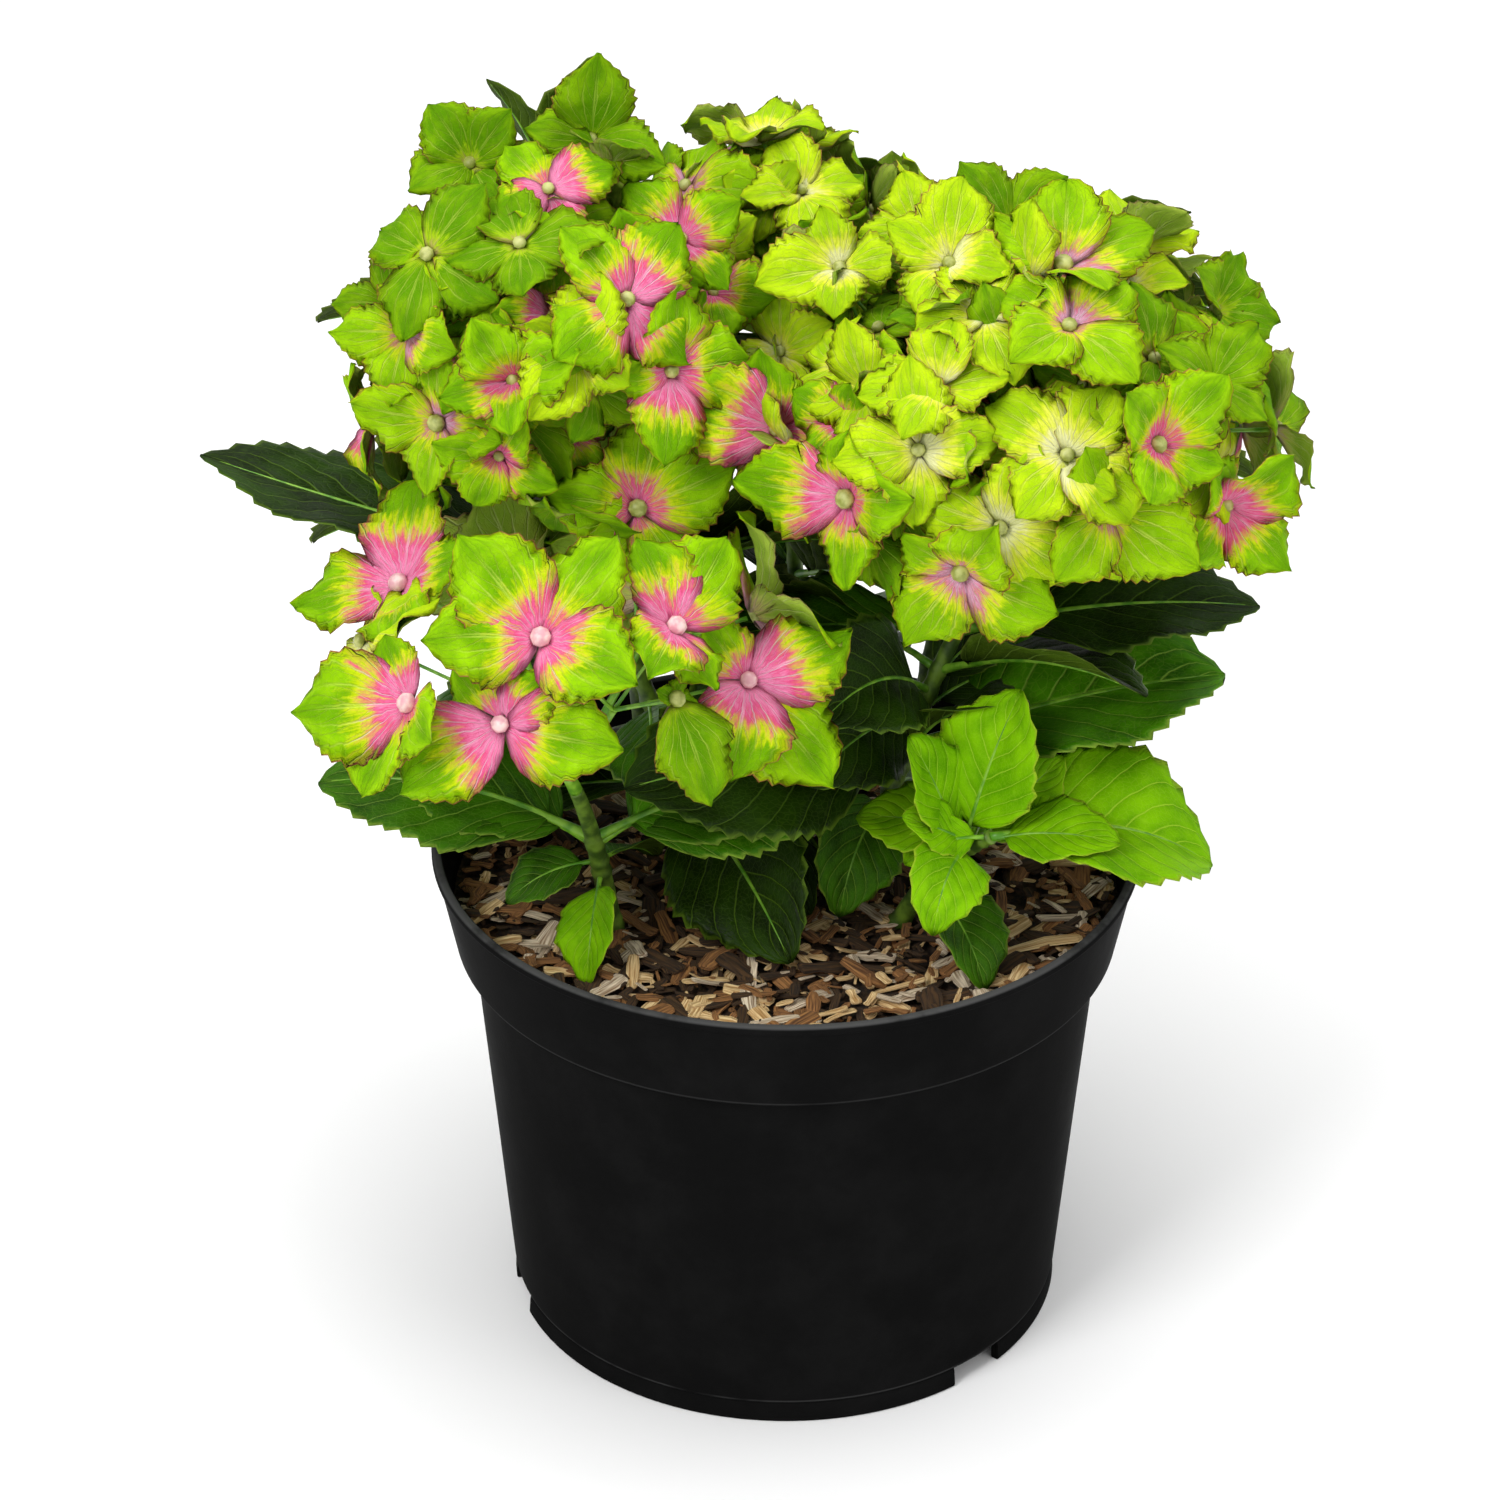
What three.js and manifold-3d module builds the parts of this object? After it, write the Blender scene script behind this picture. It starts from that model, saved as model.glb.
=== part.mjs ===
// A bigleaf hydrangea in its nursery container. Canes rise from a filled pot, each through a mass of
// paired leaves, and four of them end in a mophead of sterile florets.
// Millimetres, +Z up. The origin is under the middle of the pot, and the plant's face looks along -Y.
import * as THREE from "three";
import { mergeVertices } from "three/addons/utils/BufferGeometryUtils.js";
import Module from "manifold-3d";

const wasm = await Module();
wasm.setup();
const { Manifold } = wasm;

// ---- The container ----
const POT_HEIGHT = 168;
const RIM_RADIUS = 115;
const COLLAR_HEIGHT = 34;
const COLLAR_FOOT_RADIUS = 108;
const BODY_TOP_RADIUS = 102.3;
const BODY_FOOT_RADIUS = 91.5;
const POT_WALL = 2;
const LIP_HEIGHT = 2.6;
const LIP_PROUD = 1.1;
const FLOOR_THICKNESS = 2.5;
const FOOT_RING_HEIGHT = 7;
const FOOT_RING_WALL = 3;
const FOOT_NOTCHES = 3;
const FOOT_NOTCH_ANGLE = 13; // degrees of the ring that each notch takes
const FIRST_NOTCH_BEARING = -46; // degrees from +X
const CENTRE_BOSS_RADIUS = 24;
const DRAIN_HOLES = 6;
const DRAIN_HOLE_RADIUS = 5;
const DRAIN_CIRCLE_RADIUS = 68;
const POT_SIDES = 36;

// ---- The growing medium ----
const GAP = 0.3; // clear space between neighbouring solids
const FREEBOARD = 18; // from the rim down to the bark mulch
const MULCH_CROWN = 3; // how far the middle of the mulch stands above its edge
const MULCH_LEVEL = POT_HEIGHT - FREEBOARD;

// ---- Plant tissue ----
const CANE_ROOT_RADIUS = 3.4;
const CANE_TIP_RADIUS = 2.1;
const ROOT_FLARE = 1.45;
const ROOT_DEPTH = 3; // a cane's line starts this far under the mulch, and the cane is cut off level with it
const RAY_RADIUS = 1.5;
const PEDICEL_RADIUS = 0.7;
const PETIOLE_RADIUS = 1.5;
const LEAF_THICKNESS = 1.5;
const SEPAL_THICKNESS = 0.8;
const LEAF_WIDTH_SHARE = 0.72; // of the blade's length
const PETIOLE_SHARE = 0.2; // of the blade's length
const JOIN_TOLERANCE = 0.4; // corners nearer than this are merged where pieces of a mass are joined
const BLADE_LEAN = 45; // degrees that a blade pointing sideways turns its face outwards
const GOLDEN_ANGLE = Math.PI * (3 - Math.sqrt(5));

// ---- Mopheads: the centre and radii of each dome, the radius of a floret and how many there are ----
// Florets sit at the places [bearing, tilt, share of the usual size] given, and then on a spiral from the top of the
// dome down to its reach. Two more numbers turn a place's floret to face that bearing and tilt.
const FLOWER_HEADS = {
  front_left: {
    centre: [-68, -56, 256], spread: 60, rise: 46, floret: 33, rays: 4, phase: 0.6, florets: 0, reach: 100,
    places: [
      [262, 40, 1], [252, 71, 1], [221, 73, 1], [321, 45, 1], [349, 82, 1, 295, 52], [161, 60, 1, 215, 38],
      [176, 76, 0.7], [60, 42, 1], [20, 76, 1], [62, 88, 1], [105, 84, 1], [308, 67, 0.9],
    ],
  },
  left: {
    centre: [-74, 20, 328], spread: 56, rise: 70, floret: 23, rays: 5, phase: 5.25, florets: 36, reach: 122,
    places: [
      [275, 16, 1, 270, 42], [355, 50, 1, 295, 48], [300, 57, 1.05], [281, 67, 0.85], [313, 77, 1.1, 298, 62],
      [236, 88, 1.25], [261, 74, 1.05], [301, 113, 1.3, 285, 62], [256, 95, 0.9], [220, 69, 1, 245, 60],
      [149, 30, 1, 262, 42], [219, 49, 0.95, 250, 48], [259, 39, 0.95], [54, 23, 1.1, 270, 58],
      [190, 69, 0.95, 245, 55], [7, 72, 0.9, 300, 52],
    ],
  },
  right: {
    centre: [68, 8, 312], spread: 78, rise: 62, floret: 24.5, rays: 7, phase: 3.25, florets: 44, reach: 109,
    places: [
      [169, 72, 0.85, 258, 52], [164, 43, 0.9, 260, 42], [212, 17, 1, 268, 40], [308, 17, 1.3], [225, 57, 1],
      [248, 51, 0.85], [232, 84, 1.3], [281, 67, 1], [266, 85, 0.95], [303, 68, 1.15], [324, 94, 1, 305, 72],
      [290, 83, 1.2], [258, 99, 1.2], [247, 67, 0.85], [256, 30, 1], [289, 35, 0.95], [319, 48, 1.05],
      [127, 36, 0.9, 264, 45], [88, 29, 1.05, 272, 38], [327, 60, 0.85, 305, 50], [14, 59, 0.9, 318, 50],
      [201, 79, 0.85, 245, 62],
    ],
  },
  back: { centre: [2, 110, 316], spread: 52, rise: 46, floret: 23, rays: 5, phase: 2.4, florets: 19, reach: 110 },
};

// ---- Shoots: where each cane leaves the mulch and where its growth ends ----
// A pair of leaves is [place along the cane, bearing of its first leaf, blade length, lift, droop], and sometimes the
// share of that length that the second leaf has.
const SHOOTS = {
  front_left: {
    root: [-56, -28], head: "front_left", leafy_from: 0.24,
    pairs: [[0.3, 262, 34, -16, 50], [0.36, 197, 28, 2, 50], [0.46, 340, 64, 30, 35], [0.5, 172, 76, 25, 40]],
  },
  left: {
    root: [-28, 8], head: "left", leafy_from: 0.12,
    pairs: [
      [0.15, 257, 59, -3, 40], [0.2, 297, 70, -4, 30], [0.25, 312, 61, -5, 40],
      [0.42, 272, 48, 13, 40], [0.56, 215, 70, 10, 50], [0.8, 191, 108, 11, -6], [0.68, 312, 72, 35, 40, 0.6],
    ],
  },
  right: {
    root: [24, -12], head: "right", leafy_from: 0.22,
    pairs: [
      [0.28, 244, 42, -5, 70], [0.35, 316, 52, 62, 60], [0.4, 9, 88, 16, 15],
      [0.5, 232, 50, 16, 40], [0.62, 325, 67, 28, 40], [0.74, 3, 81, 12, 20], [0.56, 216, 58, 38, 55, 0.6],
    ],
  },
  back: {
    root: [4, 46], head: "back", leafy_from: 0.22,
    pairs: [
      [0.26, 78, 78, 4, 40], [0.42, 110, 88, 14, 45], [0.58, 66, 88, 18, 45], [0.74, 128, 84, 14, 40],
      [0.5, 289, 66, 30, 30, 0.5], [0.65, 281, 66, 34, 45, 0.5],
    ],
  },
  low_right: {
    root: [36, -27], tip: [64, -48, 196], leafy_from: 0.3,
    pairs: [
      [0.35, 296, 40, 8, 70], [0.82, 249, 36, 20, 95, 0.7], [0.74, 17, 49, 76, 10],
      [0.86, 31, 33, 38, 10], [0.93, 341, 38, 22, 30], [0.99, 8, 64, 8, 50, 0.4],
    ],
  },
  back_left: {
    root: [-44, 42], tip: [-78, 118, 350], leafy_from: 0.22,
    pairs: [
      [0.26, 128, 76, 8, 45], [0.4, 168, 92, 14, 50], [0.54, 118, 84, 18, 45], [0.68, 165, 80, 18, 40],
      [0.82, 80, 60, 34, 30], [0.97, 10, 41, 78, 20],
    ],
  },
  back_right: {
    root: [38, 34], tip: [84, 112, 318], leafy_from: 0.22,
    pairs: [
      [0.27, 30, 78, 10, 45], [0.42, 62, 90, 16, 45], [0.56, 8, 84, 18, 45], [0.7, 70, 78, 20, 40],
      [0.85, 345, 67, 27, 40], [0.97, 350, 49, 43, 30],
    ],
  },
};

// A leaf that would meet a neighbour is turned aside by one of these, in degrees, or is left out.
const SWAYS = [0, 10, -10, 20, -20, 32, -32, 45, -45];

// A Lehmer generator: each call gives the next number from 0 to 1.
function seeded(seed) {
  let state = seed;
  return () => {
    state = (state * 48271) % 2147483647;
    return state / 2147483647;
  };
}

const radians = THREE.MathUtils.degToRad;
const vec = (x, y, z) => new THREE.Vector3(x, y, z);

// A closed geometry whose corners are merged, as a solid that can be joined and cut.
function toSolid(geometry) {
  geometry.deleteAttribute("normal");
  geometry.deleteAttribute("uv");
  const merged = mergeVertices(geometry, 1e-4);
  return new Manifold(
    new wasm.Mesh({
      numProp: 3,
      vertProperties: new Float32Array(merged.attributes.position.array),
      triVerts: new Uint32Array(merged.index.array),
    }),
  );
}

function toMesh(name, solid, material) {
  const { vertProperties, triVerts } = solid.getMesh();
  const geometry = new THREE.BufferGeometry()
    .setAttribute("position", new THREE.BufferAttribute(vertProperties, 3))
    .setIndex(new THREE.BufferAttribute(triVerts, 1));
  geometry.computeVertexNormals();
  const mesh = new THREE.Mesh(geometry, material);
  mesh.name = name;
  return mesh;
}

// A solid from points and the triangles between them.
function solidFrom(points, triangles) {
  return new Manifold(
    new wasm.Mesh({
      numProp: 3,
      vertProperties: new Float32Array(points.flatMap((p) => [p.x, p.y, p.z])),
      triVerts: new Uint32Array(triangles.flat()),
    }),
  );
}

// A profile of [radius, height] points turned round the Z axis.
function turned(profile, sides) {
  const points = profile.map(([radius, height]) => new THREE.Vector2(radius, height));
  return toSolid(new THREE.LatheGeometry(points, sides).rotateX(Math.PI / 2));
}

// A skin over rings with the same number of points each. A ring may be one point at either end.
function loft(rings) {
  const points = rings.flat();
  const triangles = [];
  const starts = [];
  rings.reduce((start, ring) => (starts.push(start), start + ring.length), 0);
  const sides = Math.max(...rings.map((ring) => ring.length));
  const corner = (ring, side) => starts[ring] + (rings[ring].length === 1 ? 0 : side % sides);
  for (let ring = 0; ring + 1 < rings.length; ring++)
    for (let side = 0; side < sides; side++) {
      const [a, b] = [corner(ring, side), corner(ring, side + 1)];
      const [c, d] = [corner(ring + 1, side), corner(ring + 1, side + 1)];
      if (a !== b) triangles.push([a, b, d]);
      if (c !== d) triangles.push([a, d, c]);
    }
  const last = rings.length - 1;
  for (let side = 1; side + 1 < sides; side++) {
    if (rings[0].length > 1) triangles.push([corner(0, 0), corner(0, side + 1), corner(0, side)]);
    if (rings[last].length > 1) triangles.push([corner(last, 0), corner(last, side), corner(last, side + 1)]);
  }
  return solidFrom(points, triangles);
}

// Two unit vectors square to a direction, the first as level as it can be.
function squareTo(direction) {
  const level = Math.abs(direction.z) > 0.999 ? vec(1, 0, 0) : vec(0, 0, 1).cross(direction).normalize();
  return [level, direction.clone().cross(level)];
}

// A limb along a curve from one place to another, round, tapering from one radius to the other.
function limb(curve, from, to, radii, sides, steps) {
  const rings = [];
  let across = squareTo(curve.getTangent(from))[0];
  for (let step = 0; step <= steps; step++) {
    const share = step / steps;
    const at = THREE.MathUtils.lerp(from, to, share);
    const along = curve.getTangent(at);
    across = across.clone().addScaledVector(along, -across.dot(along)).normalize();
    const up = along.clone().cross(across);
    const radius = radii(share);
    const centre = curve.getPoint(at);
    rings.push(
      Array.from({ length: sides }, (_, side) => {
        const turn = (2 * Math.PI * side) / sides;
        return centre
          .clone()
          .addScaledVector(across, radius * Math.cos(turn))
          .addScaledVector(up, radius * Math.sin(turn));
      }),
    );
  }
  return loft(rings);
}

function bodyRadius(height) {
  const share = (height - FOOT_RING_HEIGHT) / (POT_HEIGHT - COLLAR_HEIGHT - FOOT_RING_HEIGHT);
  return THREE.MathUtils.lerp(BODY_FOOT_RADIUS, BODY_TOP_RADIUS, share);
}

// A tapered pot with a deep collar under its lip. It stands on a notched ring and a boss in the middle.
function container() {
  const collarFoot = POT_HEIGHT - COLLAR_HEIGHT;
  const floorTop = FOOT_RING_HEIGHT + FLOOR_THICKNESS;
  const underside = FOOT_RING_HEIGHT - 0.5;
  const shell = turned(
    [
      [0, 0],
      [CENTRE_BOSS_RADIUS, 0],
      [CENTRE_BOSS_RADIUS + 1, underside],
      [BODY_FOOT_RADIUS - FOOT_RING_WALL, underside],
      [BODY_FOOT_RADIUS - FOOT_RING_WALL, 0],
      [BODY_FOOT_RADIUS, 0],
      [BODY_FOOT_RADIUS, FOOT_RING_HEIGHT],
      [BODY_TOP_RADIUS, collarFoot - 2],
      [BODY_TOP_RADIUS + 0.5, collarFoot - 0.6],
      [COLLAR_FOOT_RADIUS - 1.2, collarFoot],
      [COLLAR_FOOT_RADIUS, collarFoot + 1.5],
      [RIM_RADIUS - LIP_PROUD, POT_HEIGHT - LIP_HEIGHT - 0.5],
      [RIM_RADIUS, POT_HEIGHT - LIP_HEIGHT],
      [RIM_RADIUS, POT_HEIGHT - LIP_HEIGHT / 3],
      [RIM_RADIUS - 0.4, POT_HEIGHT],
      [RIM_RADIUS - LIP_PROUD - POT_WALL, POT_HEIGHT],
      [COLLAR_FOOT_RADIUS - POT_WALL, collarFoot + POT_WALL],
      [BODY_TOP_RADIUS - POT_WALL, collarFoot],
      [bodyRadius(floorTop) - POT_WALL, floorTop],
      [0, floorTop],
    ],
    POT_SIDES,
  );
  const openings = [];
  const notchWidth = 2 * BODY_FOOT_RADIUS * Math.sin(radians(FOOT_NOTCH_ANGLE / 2));
  for (let notch = 0; notch < FOOT_NOTCHES; notch++) {
    const bearing = radians(FIRST_NOTCH_BEARING + (360 * notch) / FOOT_NOTCHES);
    const tool = new THREE.BoxGeometry(20, notchWidth, 2 * underside).translate(BODY_FOOT_RADIUS, 0, 0);
    openings.push(toSolid(tool.rotateZ(bearing)));
  }
  for (let hole = 0; hole < DRAIN_HOLES; hole++) {
    const bearing = (2 * Math.PI * (hole + 0.5)) / DRAIN_HOLES;
    const tool = new THREE.CylinderGeometry(DRAIN_HOLE_RADIUS, DRAIN_HOLE_RADIUS, 4 * FOOT_RING_HEIGHT, 8);
    openings.push(toSolid(tool.rotateX(Math.PI / 2).translate(DRAIN_CIRCLE_RADIUS, 0, 0).rotateZ(bearing)));
  }
  return shell.subtract(Manifold.union(openings));
}

// Peat and bark that fill the pot to a slightly crowned surface.
function growingMedium() {
  const bottom = FOOT_RING_HEIGHT + FLOOR_THICKNESS + GAP;
  const ledge = POT_HEIGHT - COLLAR_HEIGHT;
  const collarShare = (MULCH_LEVEL - ledge) / COLLAR_HEIGHT;
  const edge = THREE.MathUtils.lerp(COLLAR_FOOT_RADIUS, RIM_RADIUS - LIP_PROUD, collarShare);
  return turned(
    [
      [0, bottom],
      [bodyRadius(bottom) - POT_WALL - GAP, bottom],
      [BODY_TOP_RADIUS - POT_WALL - GAP, ledge],
      [COLLAR_FOOT_RADIUS - POT_WALL - 2 * GAP, ledge + POT_WALL + 2 * GAP],
      [edge - POT_WALL - 2 * GAP, MULCH_LEVEL],
      [0.6 * edge, MULCH_LEVEL + 0.7 * MULCH_CROWN],
      [0, MULCH_LEVEL + MULCH_CROWN],
    ],
    POT_SIDES,
  );
}

// The height of the mulch at a distance from the middle, over its highest facets.
function mulchAt(x, y) {
  const away = Math.hypot(x, y) / RIM_RADIUS;
  return MULCH_LEVEL + MULCH_CROWN * (1 - away * away) + GAP + 0.4;
}

// Where the rays of a flower head meet its stalk: low inside the dome.
function hubOf(head) {
  const [x, y, z] = head.centre;
  return vec(x, y, z - 0.72 * head.rise);
}

// A cane's line: it rises from the mulch, then leans out to its flower head or its tip.
function caneLine(shoot) {
  const [x, y] = shoot.root;
  const root = vec(x, y, mulchAt(x, y) - ROOT_DEPTH);
  const end = shoot.head ? hubOf(FLOWER_HEADS[shoot.head]) : vec(...shoot.tip);
  const bend = vec(x, y, root.z).lerp(vec(end.x, end.y, end.z), 0.35);
  bend.z = THREE.MathUtils.lerp(root.z, end.z, 0.62);
  return new THREE.QuadraticBezierCurve3(root, bend, end);
}

const FLORET_SPACING = 1.32; // of the floret's radius: the least between a floret on the spiral and its neighbours
const HEAD_STALK_FROM = 0.86; // the place along a cane where its flower head's stalk takes over

// The radius of a cane or its stalk at a place along it, with a flare where it leaves the ground.
function caneRadius(at) {
  const flare = 1 + (ROOT_FLARE - 1) * Math.max(0, 1 - at / 0.08);
  return flare * THREE.MathUtils.lerp(CANE_ROOT_RADIUS, CANE_TIP_RADIUS, at);
}

// The stretch of a line between two places, less the gap at its start.
function stretch(curve, from, to, sides, steps) {
  const start = from + (from > 0 ? GAP / curve.getLength() : 0);
  return limb(curve, start, to, (share) => caneRadius(THREE.MathUtils.lerp(start, to, share)), sides, steps);
}

// The half width of an ovate blade at a share of its length, as a share of its widest half.
function ovate(share) {
  return Math.sin(Math.PI * share ** 0.8) ** 0.8;
}

// The places along a leaf from its root: the petiole is straight, then the blade bends down by its droop.
function leafSpine(leaf) {
  const outward = vec(Math.cos(leaf.bearing), Math.sin(leaf.bearing), 0);
  const side = vec(-outward.y, outward.x, 0);
  const middle = leaf.root.clone().addScaledVector(outward, leaf.length / 2).setZ(0).normalize();
  const roll = leaf.roll - radians(BLADE_LEAN) * middle.dot(side);
  const direction = (pitch) => outward.clone().multiplyScalar(Math.cos(pitch)).setZ(Math.sin(pitch));
  const neck = leaf.root.clone().addScaledVector(direction(leaf.lift), PETIOLE_SHARE * leaf.length);
  const steps = 20;
  return (share) => {
    const place = neck.clone();
    for (let step = 0; step < steps; step++) {
      const pitch = leaf.lift - leaf.droop * share * ((step + 0.5) / steps);
      place.addScaledVector(direction(pitch), (leaf.length * share) / steps);
    }
    const forward = direction(leaf.lift - leaf.droop * share);
    const rolled = side.clone().applyAxisAngle(forward, roll);
    return { place, side: rolled, up: forward.clone().cross(rolled) };
  };
}

// A leaf with its petiole: thin, folded up along its midrib, with four corners to a ring.
function leafSolid(leaf) {
  const at = leafSpine(leaf);
  const ring = ({ place, side, up }, half, thickness) => {
    const lateral = half * Math.cos(leaf.fold);
    const raised = half * Math.sin(leaf.fold);
    return [
      place.clone().addScaledVector(side, -lateral).addScaledVector(up, raised),
      place.clone().addScaledVector(up, -thickness / 2),
      place.clone().addScaledVector(side, lateral).addScaledVector(up, raised),
      place.clone().addScaledVector(up, thickness / 2),
    ];
  };
  const neck = at(0);
  const root = { ...neck, place: leaf.root };
  const widest = (LEAF_WIDTH_SHARE * leaf.length) / 2;
  const stations = [0.1, 0.3, 0.55, 0.8];
  return loft([
    ring(root, PETIOLE_RADIUS, 2 * PETIOLE_RADIUS),
    ring(neck, PETIOLE_RADIUS, 2 * PETIOLE_RADIUS),
    ...stations.map((share) => ring(at(share), widest * ovate(share), LEAF_THICKNESS)),
    [at(1).place],
  ]);
}

// A sterile floret: four broad sepals in a shallow cup on a thin pedicel.
function floretSolid(floret) {
  const { centre, facing, spin, radius, root } = floret;
  const [across, along] = squareTo(facing);
  const at = (share, turn, height) =>
    centre
      .clone()
      .addScaledVector(across, share * radius * Math.cos(turn + spin))
      .addScaledVector(along, share * radius * Math.sin(turn + spin))
      .addScaledVector(facing, height);
  const points = [centre.clone().addScaledVector(facing, SEPAL_THICKNESS / 2)];
  const triangles = [];
  const quarter = Math.PI / 2;
  const outline = [
    [0.42, -quarter / 2, 0.04],
    [0.84, -0.5, 0.14],
    [1, 0, 0.12],
    [0.84, 0.5, 0.14],
  ];
  for (let sepal = 0; sepal < 4; sepal++)
    for (const [share, turn, lift] of outline)
      points.push(at(share, turn + sepal * quarter, lift * radius));
  const rim = (corner) => 1 + (corner % 16);
  for (let corner = 0; corner < 16; corner++) triangles.push([0, rim(corner), rim(corner + 1)]);
  const collar = points.length;
  for (let corner = 0; corner < 4; corner++) {
    const turn = (corner - 0.5) * quarter;
    points.push(at(PEDICEL_RADIUS / radius, turn, -SEPAL_THICKNESS));
  }
  const drop = root.clone().sub(points[0]);
  for (let corner = 0; corner < 4; corner++) points.push(points[collar + corner].clone().add(drop));
  for (let sepal = 0; sepal < 4; sepal++) {
    const [here, next] = [collar + sepal, collar + ((sepal + 1) % 4)];
    const first = 4 * sepal;
    triangles.push([rim(first + 1), rim(first), here], [rim(first + 2), rim(first + 1), here]);
    triangles.push([rim(first + 2), here, next]);
    triangles.push([rim(first + 3), rim(first + 2), next], [rim(first + 4), rim(first + 3), next]);
    triangles.push([next, here, here + 4], [next, here + 4, next + 4]);
  }
  triangles.push([collar + 4, collar + 6, collar + 5], [collar + 4, collar + 7, collar + 6]);
  return solidFrom(points, triangles);
}

// A florets' place in another dome, as a share of the way from its middle to its skin.
function shareOfDome(head, place) {
  const [x, y, z] = head.centre;
  return Math.hypot(
    (place.x - x) / head.spread,
    (place.y - y) / head.spread,
    (place.z - z) / head.rise,
  );
}

// The florets of a head, on a golden spiral or at its own places, a little uneven. One that would stand
// inside a neighbouring dome is left out.
function floretsOf(name, seed) {
  const head = FLOWER_HEADS[name];
  const random = seeded(seed);
  const centre = vec(...head.centre);
  const knuckles = knucklesOf(head);
  const florets = [];
  const lowest = Math.cos(radians(head.reach));
  const places = head.places ?? [];
  for (let count = 0; count < places.length + head.florets; count++) {
    const draws = Array.from({ length: 5 }, random);
    const step = count - places.length;
    const [bearing, tilt, size, ...look] = places[count] ?? [0, 0, 1];
    const given = step < 0;
    const up = given ? Math.cos(radians(tilt)) : 1 - ((1 - lowest) * (step + 0.5)) / head.florets;
    const turn = given ? radians(bearing) : step * GOLDEN_ANGLE + head.phase + 0.2 * (draws[0] - 0.5);
    const level = Math.sqrt(1 - up * up);
    const outward = vec(level * Math.cos(turn), level * Math.sin(turn), up);
    const place = outward
      .clone()
      .multiply(vec(head.spread, head.spread, head.rise))
      .multiplyScalar(1 + 0.12 * (draws[1] - 0.5))
      .add(centre);
    const facing = look.length
      ? vec(Math.cos(radians(look[0])), Math.sin(radians(look[0])), 1 / Math.tan(radians(look[1]))).normalize()
      : outward.add(vec(draws[2] - 0.5, draws[3] - 0.5, 0.35).multiplyScalar(0.4)).normalize();
    const crowded = Object.entries(FLOWER_HEADS).some(
      ([other, dome]) => other !== name && shareOfDome(dome, place) < 0.88,
    );
    const close = florets.some((other) => other.centre.distanceTo(place) < FLORET_SPACING * head.floret);
    if (crowded || (close && !given)) continue;
    const root = knuckles.reduce((best, knuckle) =>
      knuckle.distanceTo(place) < best.distanceTo(place) ? knuckle : best,
    );
    florets.push({
      centre: place,
      facing,
      spin: 2 * Math.PI * draws[4],
      radius: size * head.floret * (0.88 + 0.24 * draws[1]),
      root,
    });
  }
  return florets;
}

// The leaves of a shoot in opposite pairs. The second of a pair is a little unlike the first.
function leavesOf(name, seed) {
  const shoot = SHOOTS[name];
  const random = seeded(seed);
  const line = caneLine(shoot);
  return shoot.pairs.flatMap(([along, bearing, length, lift, droop, share = 1]) =>
    [0, 1].map((second) => ({
      root: line.getPoint(along),
      bearing: radians(bearing + second * (180 + 20 * (random() - 0.5))),
      length: length * (1 - second * 0.2 * random()) * (second ? share : 1),
      lift: radians(lift - second * 10 * random()),
      droop: radians(droop),
      fold: radians(8 + 14 * random()),
      roll: radians(20 * (random() - 0.5)),
    })),
  );
}

// Where the rays of a flower head end and its pedicels begin: a ring inside the dome, and one place above it.
function knucklesOf(head) {
  const centre = vec(...head.centre);
  const ring = Array.from({ length: head.rays }, (_, ray) => {
    const turn = (2 * Math.PI * ray) / head.rays + head.phase;
    return vec(Math.cos(turn), Math.sin(turn), 0.1)
      .multiplyScalar(0.45 * head.spread)
      .add(centre);
  });
  return [...ring, centre.clone().setZ(centre.z + 0.35 * head.rise)];
}

// The stem through a shoot's leaves, and above it the stalk of its flower head, divided into rays.
function stemOf(shoot) {
  return stretch(caneLine(shoot), shoot.leafy_from, shoot.head ? HEAD_STALK_FROM : 1, 5, 4);
}

function stalkOf(shoot) {
  const head = FLOWER_HEADS[shoot.head];
  const start = hubOf(head).add(vec(0, 0, -1));
  const rays = knucklesOf(head).map((knuckle) =>
    limb(new THREE.LineCurve3(start, knuckle), 0, 1, () => RAY_RADIUS, 4, 1),
  );
  return Manifold.union([stretch(caneLine(shoot), HEAD_STALK_FROM, 1, 5, 1), ...rays]);
}

const stems = Object.entries(SHOOTS).map(([name, shoot]) => ({ name, solid: stemOf(shoot) }));
for (const [name, shoot] of Object.entries(SHOOTS)) if (shoot.head) stems.push({ name, solid: stalkOf(shoot) });

const placed = []; // every solid so far, which later masses keep clear of

// Whether a piece of one shoot comes closer than the gap to any solid in place, or to another shoot's stem.
function touches(piece, name) {
  const others = stems.filter((stem) => stem.name !== name).map((stem) => stem.solid);
  return [...placed, ...others].some((other) => piece.minGap(other, 2 * GAP) < GAP);
}

// A mass of leaves on the part of a cane that runs through it.
function foliage(name, seed) {
  const kept = leavesOf(name, seed).flatMap((leaf) => {
    const tries = SWAYS.map((sway) => ({ ...leaf, bearing: leaf.bearing + radians(sway) }));
    const clear = tries.find((leaf) => !touches(leafSolid(leaf), name));
    return clear ? [leafSolid(clear)] : [];
  });
  return Manifold.union([stemOf(SHOOTS[name]), ...kept]).simplify(JOIN_TOLERANCE);
}

// A flower head: each floret's pedicel grows from the nearest end of a ray.
function flowerHead(name, seed) {
  const kept = floretsOf(name, seed)
    .map(floretSolid)
    .filter((floret) => !touches(floret, name));
  // A pocket sealed between crossing sepals is a part of its own with a negative volume, and is filled by leaving it out.
  const joined = Manifold.union([stalkOf(SHOOTS[name]), ...kept]).simplify(JOIN_TOLERANCE);
  return Manifold.union(joined.decompose().filter((part) => part.volume() > 0));
}

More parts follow.
